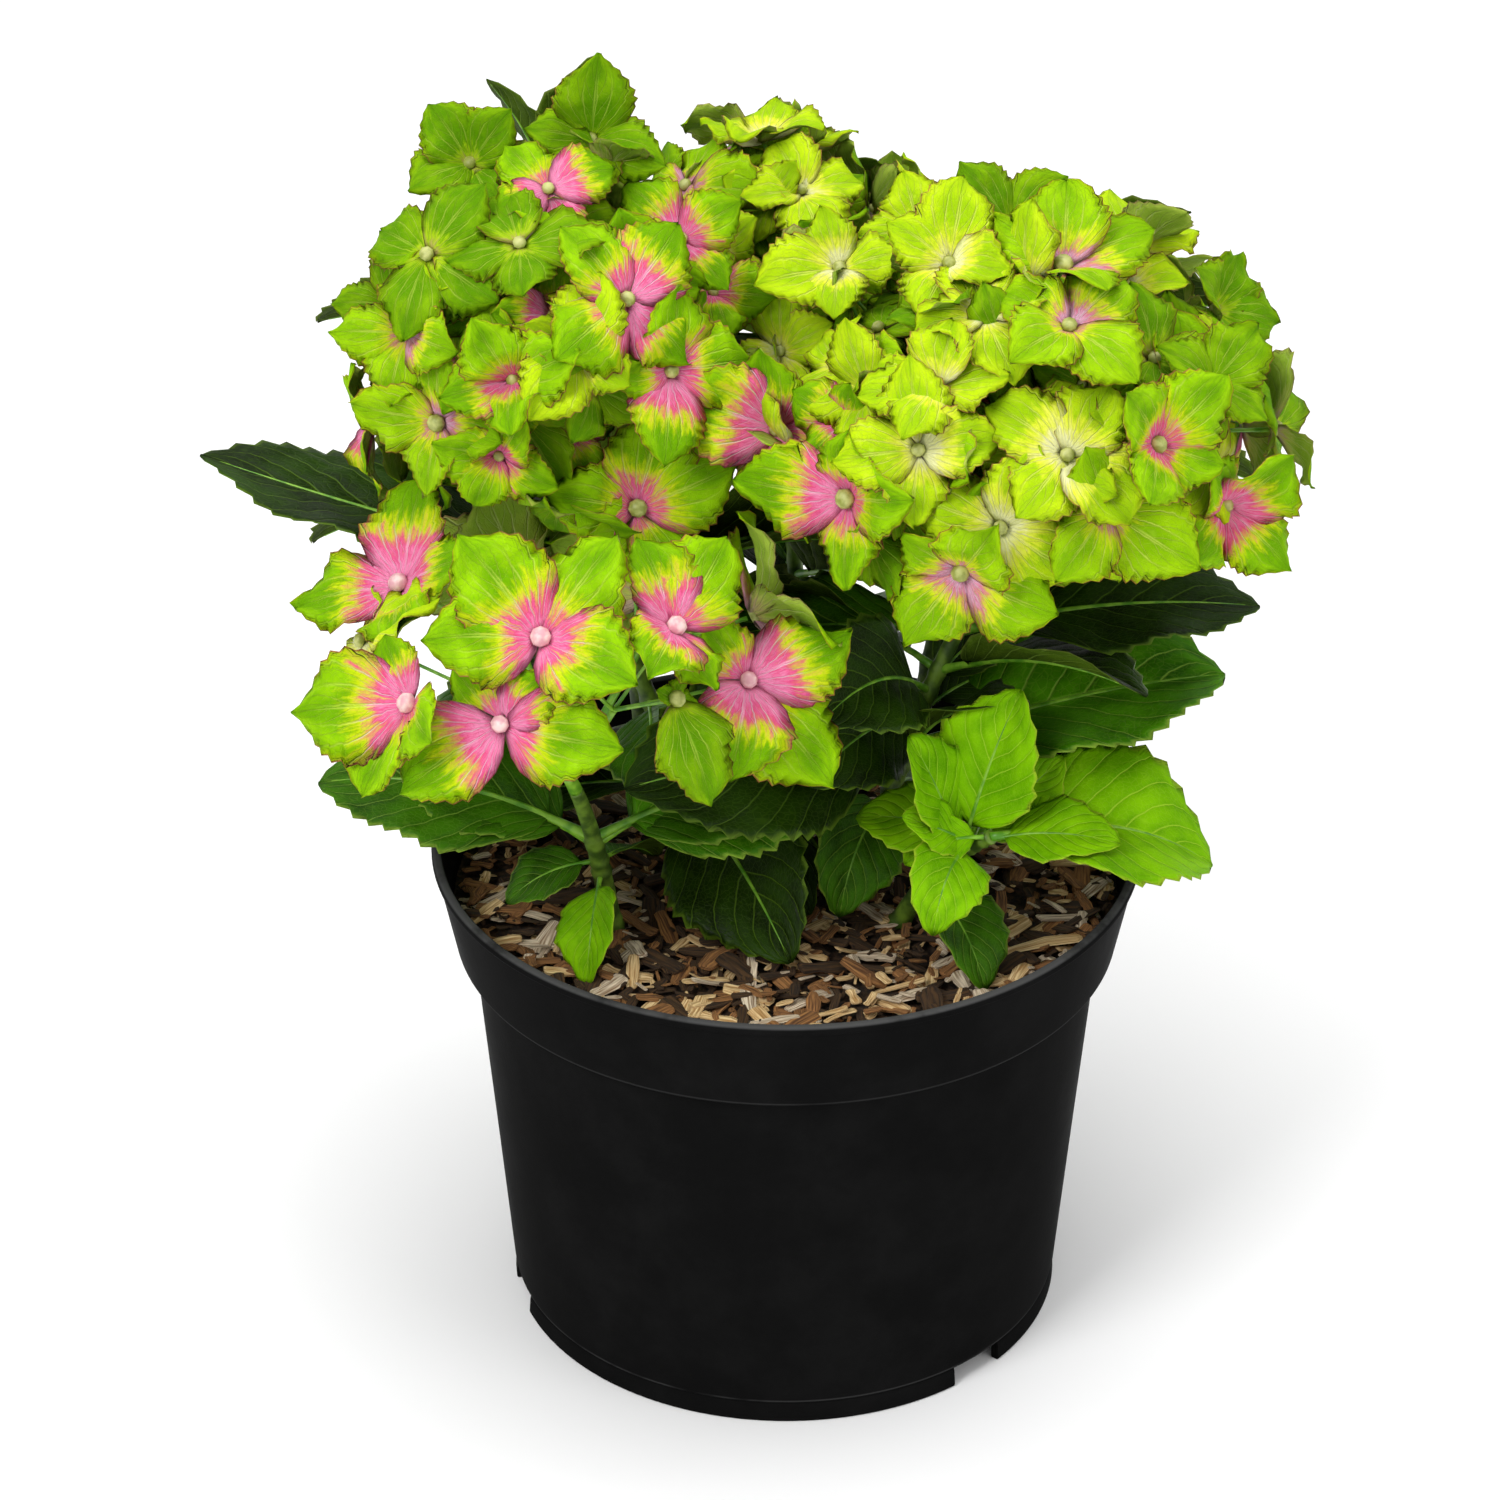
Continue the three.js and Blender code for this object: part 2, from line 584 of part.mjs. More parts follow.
const BLACK_PLASTIC = new THREE.MeshStandardMaterial({ color: "#161617", roughness: 0.42 });
const BARK_MULCH = new THREE.MeshStandardMaterial({ color: "#5a4130", roughness: 0.95 });
const GREEN_CANE = new THREE.MeshStandardMaterial({ color: "#6f8f2f", roughness: 0.6 });
const LEAF_GREEN = new THREE.MeshStandardMaterial({ color: "#2f7d1c", roughness: 0.45 });
const YOUNG_LEAF_GREEN = new THREE.MeshStandardMaterial({ color: "#63b51f", roughness: 0.45 });
const SEPAL_LIME = new THREE.MeshStandardMaterial({ color: "#93c81d", roughness: 0.55 });

const plant = new THREE.Group();

function place(name, solid, material) {
  placed.push(solid);
  plant.add(toMesh(name, solid, material));
}

place("container", container(), BLACK_PLASTIC);
place("growing_medium", growingMedium(), BARK_MULCH);
for (const [name, shoot] of Object.entries(SHOOTS)) {
  const cane = stretch(caneLine(shoot), 0, shoot.leafy_from, 6, 2);
  place(`cane_${name}`, cane.trimByPlane([0, 0, 1], mulchAt(...shoot.root)), GREEN_CANE);
}
// Each mass keeps clear of those before it, so the ones that show most come first.
const MASSES = [
  ["flower_head", "front_left", SEPAL_LIME],
  ["foliage", "left", LEAF_GREEN],
  ["foliage", "low_right", YOUNG_LEAF_GREEN],
  ["foliage", "right", LEAF_GREEN],
  ["foliage", "front_left", LEAF_GREEN],
  ["foliage", "back_left", LEAF_GREEN],
  ["flower_head", "left", SEPAL_LIME],
  ["flower_head", "right", SEPAL_LIME],
  ["flower_head", "back", SEPAL_LIME],
  ["foliage", "back_right", LEAF_GREEN],
  ["foliage", "back", LEAF_GREEN],
];
MASSES.forEach(([kind, name, material], index) => {
  const build = kind === "foliage" ? foliage : flowerHead;
  place(`${kind}_${name}`, build(name, 101 + index), material);
});

export default plant;
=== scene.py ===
"""A bigleaf hydrangea in flower, in its nursery pot. Lengths are millimetres until a mesh is made."""
import bmesh
import bpy
import numpy as np
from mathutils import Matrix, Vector
from mathutils.bvhtree import BVHTree


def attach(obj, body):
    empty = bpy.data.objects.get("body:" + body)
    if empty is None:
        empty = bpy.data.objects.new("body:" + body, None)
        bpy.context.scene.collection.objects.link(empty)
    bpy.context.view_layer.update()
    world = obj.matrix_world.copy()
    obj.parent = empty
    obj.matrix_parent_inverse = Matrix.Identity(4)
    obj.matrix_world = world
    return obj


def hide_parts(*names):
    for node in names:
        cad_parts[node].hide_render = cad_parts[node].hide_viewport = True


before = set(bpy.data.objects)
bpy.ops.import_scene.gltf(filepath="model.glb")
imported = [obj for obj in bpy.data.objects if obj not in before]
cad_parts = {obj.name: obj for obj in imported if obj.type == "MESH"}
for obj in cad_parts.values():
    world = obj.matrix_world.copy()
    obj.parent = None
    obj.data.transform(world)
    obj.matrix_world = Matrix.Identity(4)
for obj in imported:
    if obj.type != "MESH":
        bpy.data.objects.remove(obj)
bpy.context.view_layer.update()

# ---- The container ----
POT_HEIGHT = 168.0
RIM_RADIUS = 115.0
COLLAR_HEIGHT = 34.0
COLLAR_FOOT_RADIUS = 108.0
BODY_TOP_RADIUS = 102.3
BODY_FOOT_RADIUS = 91.5
POT_WALL = 2.0
LIP_HEIGHT = 2.6
LIP_PROUD = 1.1
FOOT_RING_HEIGHT = 7.0
FOOT_RING_WALL = 3.0
FOOT_NOTCH_ANGLE = 13.0
FOOT_NOTCHES = 3
FIRST_NOTCH_BEARING = -46.0
CENTRE_BOSS_RADIUS = 24.0
FLOOR_THICKNESS = 2.5
DRAIN_HOLES = 6
DRAIN_RADIUS = 5.0
# The drain holes stand in a band of the floor, which reaches this far to either side of their circle.
DRAIN_CIRCLE = 68.0
DRAIN_BAND = 10.0
FIRST_DRAIN_BEARING = 30
POT_SIDES = 192
MULCH_LEVEL = 150.0
MULCH_CROWN = 3.0
# A turned surface starts from a ring of the pole's radius, and corners closer together than the weld are
# merged, which closes it. Edges sharper than the crisp angle, in degrees, aren't smoothed over.
POLE = 0.002
POLE_SHARE = 0.00002
WELD = 0.01
CRISP_ANGLE = 50

# ---- Plant tissue ----
GAP = 0.3
CANE_ROOT_RADIUS = 3.4
CANE_TIP_RADIUS = 2.1
ROOT_FLARE = 1.45
ROOT_DEPTH = 3.0
RAY_RADIUS = 1.5
PEDICEL_RADIUS = 0.6
PETIOLE_RADIUS = 1.5
LEAF_WIDTH_SHARE = 0.72
LEAF_THICKNESS = 0.45
LEAF_VEIN_PAIRS = 7.0
LEAF_VEIN_SLANT = 0.42
SEPAL_THICKNESS = 0.35
PETIOLE_SHARE = 0.2
BLADE_LEAN = 45.0
HEAD_STALK_FROM = 0.86
GOLDEN_ANGLE = np.pi * (3 - np.sqrt(5))
FLORET_SPACING = 1.32
CROWDED_WITHIN = 0.88
# Unless its tone is given, a leaf shorter and rooted higher than these is young, and of the others this
# share is green and the rest dark.
SMALL_LEAF = 45
HIGH_UP = 290
GREEN_SHARE = 0.4
# Florets of a head's deeper layers carry their place less one of these, so that no sepals are set for them.
DEEPEST_LAYER = 1000
SECOND_LAYER = 300

# Each mophead: the centre and radii of its dome, the radius of a floret, its rays and their first bearing,
# how many florets sit on a spiral down to the tilt in reach, how far old shifts their colouring, and its seen
# places, as bearing, tilt, share of the usual size, colouring (1 lime, 2 blushed, 3 pink-hearted, 4 green)
# and the bearing and tilt that the floret faces, where both 0 is outwards.
FLOWER_HEADS = {
    "front_left": dict(
        centre=(-68, -56, 256), spread=60, rise=46, floret=33,
        rays=4, phase=0.6, florets=0, reach=100, old=1.0,
        places=[(262, 40, 1, 3, 0, 0), (252, 71, 1, 3, 0, 0), (221, 73, 1, 3, 0, 0),
                (321, 45, 1, 3, 0, 0), (349, 82, 1, 3, 295, 52), (161, 60, 1, 3, 215, 38),
                (176, 76, 0.7, 1, 0, 0), (60, 42, 0.6, 2, 300, 60), (20, 76, 1, 2, 0, 0),
                (62, 88, 1, 3, 0, 0), (105, 84, 1, 2, 0, 0), (308, 67, 0.9, 4, 0, 0)],
    ),
    "left": dict(
        centre=(-74, 20, 328), spread=56, rise=70, floret=23,
        rays=5, phase=5.25, florets=36, reach=122, old=0.3,
        places=[(275, 16, 1, 3, 270, 42), (355, 50, 1, 3, 295, 48), (300, 57, 1.05, 3, 0, 0),
                (281, 67, 0.85, 1, 0, 0), (313, 77, 1.1, 3, 298, 62), (236, 88, 1.25, 2, 0, 0),
                (261, 74, 1.05, 3, 0, 0), (301, 113, 1.3, 3, 285, 62), (256, 95, 0.9, 3, 0, 0),
                (220, 69, 1, 2, 245, 60), (149, 30, 1, 4, 262, 42), (219, 49, 0.95, 4, 250, 48),
                (259, 39, 0.95, 4, 0, 0), (54, 23, 0.97, 4, 270, 58), (190, 69, 0.95, 4, 245, 55),
                (7, 72, 0.9, 3, 300, 52)],
    ),
    "right": dict(
        centre=(68, 8, 312), spread=78, rise=62, floret=24.5,
        rays=7, phase=3.25, florets=44, reach=109, old=0.1,
        places=[(169, 72, 0.85, 1, 258, 52), (164, 43, 0.9, 1, 260, 42), (212, 17, 1, 1, 268, 40),
                (308, 17, 1.3, 2, 0, 0), (225, 57, 1, 1, 0, 0), (248, 51, 0.85, 1, 0, 0),
                (232, 84, 1.3, 3, 0, 0), (281, 67, 1, 1, 0, 0), (266, 85, 0.95, 1, 0, 0),
                (303, 68, 1.15, 3, 0, 0), (324, 94, 1, 3, 305, 72), (290, 83, 1.2, 2, 0, 0),
                (258, 99, 1.2, 2, 0, 0), (247, 67, 0.85, 1, 0, 0), (256, 30, 1, 1, 0, 0),
                (289, 35, 0.95, 2, 0, 0), (319, 48, 1.05, 4, 0, 0), (127, 36, 0.9, 1, 264, 45),
                (88, 29, 1.05, 4, 272, 38), (327, 60, 0.85, 4, 305, 50), (14, 59, 0.9, 4, 318, 50),
                (201, 79, 1.1, 3, 245, 62)],
    ),
    "back": dict(
        centre=(2, 110, 316), spread=52, rise=46, floret=23,
        rays=5, phase=2.4, florets=19, reach=110, old=0.15,
        places=[],
    ),
}

# The sepals of the florets that show most, as turn, angle above the floret's face and length, by head and
# place.
SEEN_SEPALS = {
    "front_left": {
        0: [(52, 10, 39), (130, 14, 40), (186, 12, 37), (328, 15, 36)],
        1: [(1, -6, 39), (54, -14, 22), (147, -10, 24), (226, 9, 38)],
        2: [(141, 3, 24), (210, 24, 39), (268, 6, 32), (352, 23, 30)],
        3: [(28, 10, 36), (83, 8, 30), (203, 15, 32), (263, 8, 24)],
        4: [(11, 12, 36), (122, 14, 24), (240, 7, 35), (297, -4, 42)],
        5: [(37, 12, 32), (120, 10, 37), (228, 8, 36), (326, 14, 30)],
        11: [(40, 10, 8), (140, 10, 8), (268, -4, 34), (330, 0, 9)],
    },
    "left": {
        5: [(87, 9, 25), (175, 7, 29), (266, 5, 24), (358, 10, 24)],
        7: [(17, 13, 34), (72, 12, 33), (166, 7, 30), (300, -10, 24)],
    },
    "right": {
        3: [(56, 13, 34), (112, 9, 27), (263, 20, 28), (358, 9, 34)],
        6: [(18, 7, 30), (88, 17, 24), (186, 16, 38), (286, 6, 28)],
        9: [(31, 10, 31), (128, 26, 28), (222, 30, 27), (330, 9, 24)],
        11: [(20, -12, 30), (110, 13, 24), (222, 11, 28), (322, 8, 35)],
        12: [(62, 20, 28), (140, 20, 24), (236, 9, 30), (345, 9, 33)],
    },
}

# Each shoot: its root, the head or tip where it ends, and its leaf pairs, as place along the cane, bearing
# of the first leaf, blade length, lift, droop, and sometimes the share of that length that the second leaf
# has.
SHOOTS = {
    "front_left": dict(
        root=(-56, -28), head="front_left",
        pairs=[(0.3, 262, 34, -16, 50), (0.36, 197, 28, 2, 50), (0.46, 340, 64, 30, 35),
               (0.5, 172, 76, 25, 40)],
    ),
    "left": dict(
        root=(-28, 8), head="left",
        pairs=[(0.15, 257, 59, -3, 40), (0.2, 297, 70, -4, 30), (0.25, 312, 61, -5, 40),
               (0.42, 272, 48, 13, 40), (0.56, 215, 70, 10, 50), (0.8, 191, 108, 11, -6),
               (0.68, 312, 72, 35, 40, 0.6)],
    ),
    "right": dict(
        root=(24, -12), head="right",
        pairs=[(0.28, 244, 42, -5, 70), (0.35, 316, 52, 62, 60), (0.4, 9, 88, 16, 15),
               (0.5, 232, 50, 16, 40), (0.62, 325, 67, 28, 40), (0.74, 3, 81, 12, 20),
               (0.56, 216, 58, 38, 55, 0.6)],
    ),
    "back": dict(
        root=(4, 46), head="back",
        pairs=[(0.26, 78, 78, 4, 40), (0.42, 110, 88, 14, 45), (0.58, 66, 88, 18, 45),
               (0.74, 128, 84, 14, 40), (0.5, 289, 66, 30, 30, 0.5), (0.65, 281, 66, 34, 45, 0.5)],
    ),
    "low_right": dict(
        root=(36, -27), tip=(64, -48, 196),
        pairs=[(0.35, 296, 40, 8, 70), (0.82, 249, 36, 20, 95, 0.7), (0.74, 17, 49, 76, 10),
               (0.86, 31, 33, 38, 10), (0.93, 341, 38, 22, 30), (0.99, 8, 64, 8, 50, 0.4)],
    ),
    "back_left": dict(
        root=(-44, 42), tip=(-78, 118, 350),
        pairs=[(0.26, 128, 76, 8, 45), (0.4, 168, 92, 14, 50), (0.54, 118, 84, 18, 45),
               (0.68, 165, 80, 18, 40), (0.82, 80, 60, 34, 30), (0.97, 10, 41, 78, 20)],
    ),
    "back_right": dict(
        root=(38, 34), tip=(84, 112, 318),
        pairs=[(0.27, 30, 78, 10, 45), (0.42, 62, 90, 16, 45), (0.56, 8, 84, 18, 45),
               (0.7, 70, 78, 20, 40), (0.85, 345, 67, 27, 40), (0.97, 350, 49, 43, 30)],
    ),
}
# Leaves whose tone isn't left to chance, by shoot and number: 1 dark, 2 green, 3 young, 4 fresh.
# Leaf 4 of the right shoot takes the lighter fresh tone as painted light, since the head above shades it.
LEAF_TONES = {
    "front_left": {0: 3, 1: 2, 2: 2, 3: 2, 4: 2, 5: 2, 6: 4, 7: 4},
    "left": {0: 1, 1: 1, 2: 1, 3: 1, 4: 2, 5: 2, 6: 2, 8: 1, 9: 1, 10: 1},
    "right": {0: 2, 2: 1, 4: 4, 5: 1, 6: 1, 8: 1, 10: 1, 12: 1},
    "low_right": {0: 2},
    "back_left": {7: 2, 9: 3, 10: 3},
}
# Leaves broader or narrower than usual for their length.
LEAF_BREADTHS = {"left": {8: 0.8}, "right": {4: 1.35}, "low_right": {2: 1.12, 3: 1.1, 8: 1.1, 9: 1.32}}
# How far a leaf may turn aside, in degrees, to lie on its solid, in the order tried.
SWAYS = (0, 10, -10, 20, -20, 32, -32, 45, -45)

# The order in which the masses were grown, which gives each its seed, counted on from the first.
FIRST_SEED = 101
MASSES = [("flower_head", "front_left"), ("foliage", "left"), ("foliage", "low_right"),
          ("foliage", "right"), ("foliage", "front_left"), ("foliage", "back_left"),
          ("flower_head", "left"), ("flower_head", "right"), ("flower_head", "back"),
          ("foliage", "back_right"), ("foliage", "back")]


# ---- Small tools ----
def lehmer(seed, count):
    """The first numbers, from 0 to 1, of the generator that the solids were grown with."""
    draws, state = np.empty(count), seed
    for i in range(count):
        state = state * 48271 % 2147483647
        draws[i] = state / 2147483647
    return draws


def unit(v):
    """Vectors scaled to length 1."""
    return v / np.maximum(np.linalg.norm(v, axis=-1, keepdims=True), 1e-9)


def smooth(x, low, high):
    """0 below low, 1 above high, and an S curve between."""
    t = np.clip((x - low) / (high - low), 0, 1)
    return t * t * (3 - 2 * t)


class Piece:
    """Grids and faces gathered for one mesh: corners, faces, a place on the pattern map per face corner,
    and a finish per face. A piece whose finishes lie in space, not on its blades, is made without the
    map."""

    def __init__(self):
        self.points, self.faces, self.map, self.finish, self.count = [], [], [], [], 0

    def add(self, points, faces, places, finish=0):
        """Adds corners (n, 3), faces (m, k) into them, and map places (m, k, 2)."""
        self.points.append(np.asarray(points, float).reshape(-1, 3))
        self.faces.append(np.asarray(faces) + self.count)
        self.map.append(np.asarray(places, float))
        self.finish.append(np.broadcast_to(finish, len(faces)))
        self.count += len(self.points[-1])

    def mesh(self, name, materials, slot, nodes, smooth_faces=True, mapped=False, welded=False):
        """Makes the object, in metres, riding on the plant's one body in place of the CAD nodes. A welded
        one has its seams and poles closed, and its square edges stay crisp."""
        me = bpy.data.meshes.new(name)
        points = np.concatenate(self.points) / 1000
        sizes = np.concatenate([np.full(len(f), f.shape[1]) for f in self.faces])
        corners = np.concatenate([f.ravel() for f in self.faces])
        me.vertices.add(len(points))
        me.vertices.foreach_set("co", points.astype(np.float32).ravel())
        me.loops.add(len(corners))
        me.loops.foreach_set("vertex_index", corners.astype(np.int32))
        me.polygons.add(len(sizes))
        me.polygons.foreach_set("loop_start", np.concatenate([[0], np.cumsum(sizes)[:-1]]).astype(np.int32))
        me.polygons.foreach_set("material_index", np.concatenate(self.finish).astype(np.int32))
        me.polygons.foreach_set("use_smooth", np.full(len(sizes), smooth_faces))
        for material in materials:
            me.materials.append(material)
        me.update(calc_edges=True)
        if mapped:
            layer = me.uv_layers.new(name="OFBake")
            places = np.concatenate([m.reshape(-1, 2) for m in self.map])
            layer.data.foreach_set("uv", places.astype(np.float32).ravel())
        me.validate()
        if welded:
            bm = bmesh.new()
            bm.from_mesh(me)
            bmesh.ops.remove_doubles(bm, verts=bm.verts, dist=WELD / 1000)
            bm.to_mesh(me)
            bm.free()
            me.set_sharp_from_angle(angle=np.radians(CRISP_ANGLE))
        ob = bpy.data.objects.new(name, me)
        bpy.context.scene.collection.objects.link(ob)
        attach(ob, "root")
        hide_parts(*nodes)
        return ob


def quads(rows, cols, wrap=False):
    """Faces of a grid of corners, as (m, 4) numbers into the grid, and closed round its columns if it
    wraps."""
    grid = np.arange(rows * cols).reshape(rows, cols)
    if wrap:
        grid = np.concatenate([grid, grid[:, :1]], 1)
    return np.stack([grid[:-1, :-1], grid[:-1, 1:], grid[1:, 1:], grid[1:, :-1]], -1).reshape(-1, 4)


def in_cell(across, along, cell):
    """A place on the pattern map: the map has 5 by 5 cells, and a shape's own 0 to 1 square fills one, less
    a margin."""
    margin = 0.04
    u = (cell[0] + margin + (1 - 2 * margin) * across) / 5
    v = (cell[1] + margin + (1 - 2 * margin) * along) / 5
    return np.stack(np.broadcast_arrays(u, v), -1)


def add_blades(piece, points, share, width_map, cells, under_cells, thickness, finish, under_finish=0):
    """Thin closed blades. points is (n, rows, cols, 3), the upper faces, whose rows lie at the given shares
    of the length and columns at the given places across, -1 to 1. The underside lies a thickness below,
    along the normal, and shares the outline's corners, so the edge is sharp and closed."""
    n, rows, cols, _ = points.shape
    along = np.gradient(points, axis=1)
    across = np.gradient(points, axis=2)
    normal = unit(np.cross(along, across))
    inner = (points - thickness * normal)[:, 1:-1, 1:-1]
    bottom = np.arange(rows * cols).reshape(rows, cols)
    bottom[1:-1, 1:-1] = rows * cols + np.arange((rows - 2) * (cols - 2)).reshape(rows - 2, cols - 2)
    over = quads(rows, cols)[:, ::-1]
    under = over[:, [0, 3, 2, 1]]
    u = np.tile((width_map + 1) / 2, rows)
    v = np.repeat(share, cols)
    for i in range(n):
        start = piece.count
        piece.add(np.concatenate([points[i].reshape(-1, 3), inner[i].reshape(-1, 3)]), over,
                  in_cell(u[over], v[over], cells[i]), finish[i])
        piece.faces.append(bottom.ravel()[under] + start)
        piece.map.append(in_cell(u[under], v[under], under_cells[i]))
        piece.finish.append(np.full(len(under), under_finish))


def add_tubes(piece, paths, radii, sides, cells=None, finish=0, flat=1.0):
    """Round limbs along paths (n, steps, 3) with radii (n, steps), closed by a point at each end. The
    ring's first direction is level and square to the whole path. flat squeezes the other direction."""
    paths, radii = np.asarray(paths, float), np.asarray(radii, float)
    n, steps, _ = paths.shape
    tangent = unit(np.gradient(paths, axis=1))
    chord = unit(paths[:, -1] - paths[:, 0])[:, None]
    level = np.cross(np.array([0.0, 0.0, 1.0]), chord)
    short = np.linalg.norm(level, axis=-1, keepdims=True) < 0.05
    level = unit(np.where(short, np.array([1.0, 0.0, 0.0]), level))
    first = unit(level - tangent * (level * tangent).sum(-1, keepdims=True))
    second = np.cross(tangent, first)
    turn = 2 * np.pi * np.arange(sides) / sides
    ring = (first[:, :, None] * np.cos(turn)[:, None] + flat * second[:, :, None] * np.sin(turn)[:, None])
    points = paths[:, :, None] + radii[:, :, None, None] * ring
    faces = quads(steps, sides, wrap=True)
    u = np.tile(np.arange(sides) / sides, steps)
    v = np.repeat(np.linspace(0.06, 0.94, steps), sides)
    wrapped = np.where((faces % sides == 0) & np.isin(np.arange(4), (1, 2)), 1.0, u[faces])
    corner = np.arange(sides)
    following = (corner + 1) % sides
    last = (steps - 1) * sides
    start_fan = np.stack([np.full(sides, steps * sides), following, corner], -1)
    end_fan = np.stack([np.full(sides, steps * sides + 1), last + corner, last + following], -1)
    fan_u = (corner[:, None] + np.array([0.5, 1.0, 0.0])) / sides
    fans = ((start_fan, fan_u, (0.0, 0.06, 0.06)), (end_fan, fan_u[:, [0, 2, 1]], (1.0, 0.94, 0.94)))
    for i in range(n):
        cell = (0, 0) if cells is None else cells[i]
        worn = np.asarray(finish)[i] if np.ndim(finish) else finish
        start = piece.count
        piece.add(np.concatenate([points[i].reshape(-1, 3), paths[i, :1], paths[i, -1:]]), faces,
                  in_cell(wrapped, v[faces], cell), worn)
        for fan, u_fan, v_fan in fans:
            piece.faces.append(fan + start)
            piece.map.append(in_cell(u_fan, np.array(v_fan), cell))
            piece.finish.append(np.full(len(fan), worn))


# ---- Materials ----
def linear(colour):
    """An sRGB hex colour as linear RGBA."""
    s = np.array([int(colour[i:i + 2], 16) for i in (1, 3, 5)]) / 255
    return (*np.where(s <= 0.04045, s / 12.92, ((s + 0.055) / 1.055) ** 2.4), 1.0)


def connect(tree, node, links):
    """Gives each named input of a node its value or sRGB hex colour, or links it to another node's output."""
    for socket, value in links.items():
        if isinstance(value, bpy.types.NodeSocket):
            tree.links.new(value, node.inputs[socket])
        else:
            node.inputs[socket].default_value = linear(value) if isinstance(value, str) else value
    return node


def add(tree, kind, links={}, **settings):
    """Adds a node with its settings, and its inputs from links."""
    node = tree.nodes.new(kind)
    for key, value in settings.items():
        setattr(node, key, value)
    return connect(tree, node, links)


# Nodes that come again and again: the kind, its inputs in order, its output and its settings. BLEND goes
# from its first colour to its second as its share goes from 0 to 1, and RAMP is an S curve of a value
# between two levels.
BLEND = ("ShaderNodeMix", (0, 6, 7), 2, {"data_type": "RGBA"})
RAMP = ("ShaderNodeMapRange", (0, 1, 2), 0, {"interpolation_type": "SMOOTHSTEP"})


def put(tree, usual, *values):
    """Adds one of these nodes with its inputs in order, and gives its output."""
    kind, sockets, output, settings = usual
    return add(tree, kind, dict(zip(sockets, values)), **settings).outputs[output]


def sum_up(tree, text, **values):
    """Builds value nodes from a short recipe such as "MULTIPLY a 4; FRACT _", where _ is the step before.
    Returns the last output."""
    last = None
    for step in text.split(";"):
        operation, *words = step.split()
        inputs = {}
        for i, word in enumerate(words):
            inputs[i] = last if word == "_" else values[word] if word in values else float(word)
        last = add(tree, "ShaderNodeMath", inputs, operation=operation).outputs[0]
    return last


def blank(name):
    """An empty material with its Principled shader."""
    material = bpy.data.materials.new(name)
    material.use_nodes = True
    tree = material.node_tree
    return material, tree, tree.nodes["Principled BSDF"]


def cell_places(tree):
    """Where a point lies on its blade: 0 at the midrib to 1 at the edge, 0 at the base to 1 at the tip, and
    the whole map's place."""
    uv = add(tree, "ShaderNodeUVMap", uv_map="OFBake").outputs[0]
    split = add(tree, "ShaderNodeSeparateXYZ", {0: uv})
    out = sum_up(tree, "MULTIPLY x 5; FRACT _; SUBTRACT _ 0.5; ABSOLUTE _; DIVIDE _ 0.46", x=split.outputs[0])
    along = sum_up(tree, "MULTIPLY y 5; FRACT _; SUBTRACT _ 0.04; DIVIDE _ 0.92", y=split.outputs[1])
    return out, along, uv


def veins(tree, out, along, uv, pairs, slant, width):
    """A midrib and slanting side veins, 1 on a vein and 0 off it. Veins thin out towards the edge."""
    wave = add(tree, "ShaderNodeTexNoise", {"Vector": uv, "Scale": 30.0, "Detail": 2.0}).outputs[0]
    phase = sum_up(tree, "MULTIPLY out slant; SUBTRACT along _; MULTIPLY _ pairs; ADD _ wave; FRACT _; "
                   "SUBTRACT _ 0.5; ABSOLUTE _", out=out, slant=slant, along=along, pairs=pairs,
                   wave=sum_up(tree, "MULTIPLY w 0.35", w=wave))
    thin = sum_up(tree, "MULTIPLY out 0.6; SUBTRACT 1 _; MULTIPLY _ width", out=out, width=width)
    side = sum_up(tree, "DIVIDE d t; SUBTRACT 1 _; MAXIMUM _ 0", d=phase, t=thin)
    rib = sum_up(tree, "DIVIDE out r; SUBTRACT 1 _; MAXIMUM _ 0", out=out,
                 r=sum_up(tree, "MULTIPLY along 0.035; SUBTRACT 0.055 _", along=along))
    return sum_up(tree, "MAXIMUM a b", a=side, b=rib)


def leaf_tissue(name, deep, light, vein, edge, rough, gloss):
    """A living leaf: a waxy skin over green flesh, with sunken pale veins and a fine net of veinlets about
    2 mm apart between them. The flesh is darker beside the veins. Its gloss is broad and soft."""
    material, tree, skin = blank(name)
    out, along, uv = cell_places(tree)
    mask = veins(tree, out, along, uv, LEAF_VEIN_PAIRS, LEAF_VEIN_SLANT, 0.07)
    wide = veins(tree, out, along, uv, LEAF_VEIN_PAIRS, LEAF_VEIN_SLANT, 0.4)
    net = add(tree, "ShaderNodeTexVoronoi", {"Vector": uv, "Scale": 190.0}, feature="DISTANCE_TO_EDGE")
    fine = put(tree, RAMP, net.outputs[0], 0.1, 0.0)
    mottle = add(tree, "ShaderNodeTexNoise", {"Vector": uv, "Scale": 17.0, "Detail": 4.0}).outputs[0]
    tone = sum_up(tree, "MULTIPLY w 0.3; SUBTRACT t _", w=wide, t=put(tree, RAMP, mottle, 0.25, 0.7))
    colour = put(tree, BLEND, sum_up(tree, "MAXIMUM t 0", t=tone), deep, light)
    colour = put(tree, BLEND, sum_up(tree, "MULTIPLY f 0.14", f=fine), colour, vein)
    colour = put(tree, BLEND, sum_up(tree, "MULTIPLY m 0.75", m=mask), colour, vein)
    colour = put(tree, BLEND, sum_up(tree, "MULTIPLY e 0.8", e=put(tree, RAMP, out, 0.94, 1.0)), colour, edge)
    height = sum_up(tree, "MULTIPLY f 0.3; ADD _ m; ADD _ w; SUBTRACT 1 _", f=fine, m=mask, w=wide)
    bump = add(tree, "ShaderNodeBump", {"Height": height, "Strength": 0.45, "Distance": 0.0007})
    connect(tree, skin, {"Base Color": colour, "Normal": bump.outputs[0], "Roughness": rough, "IOR": 1.45,
                         "Specular IOR Level": gloss})
    return material


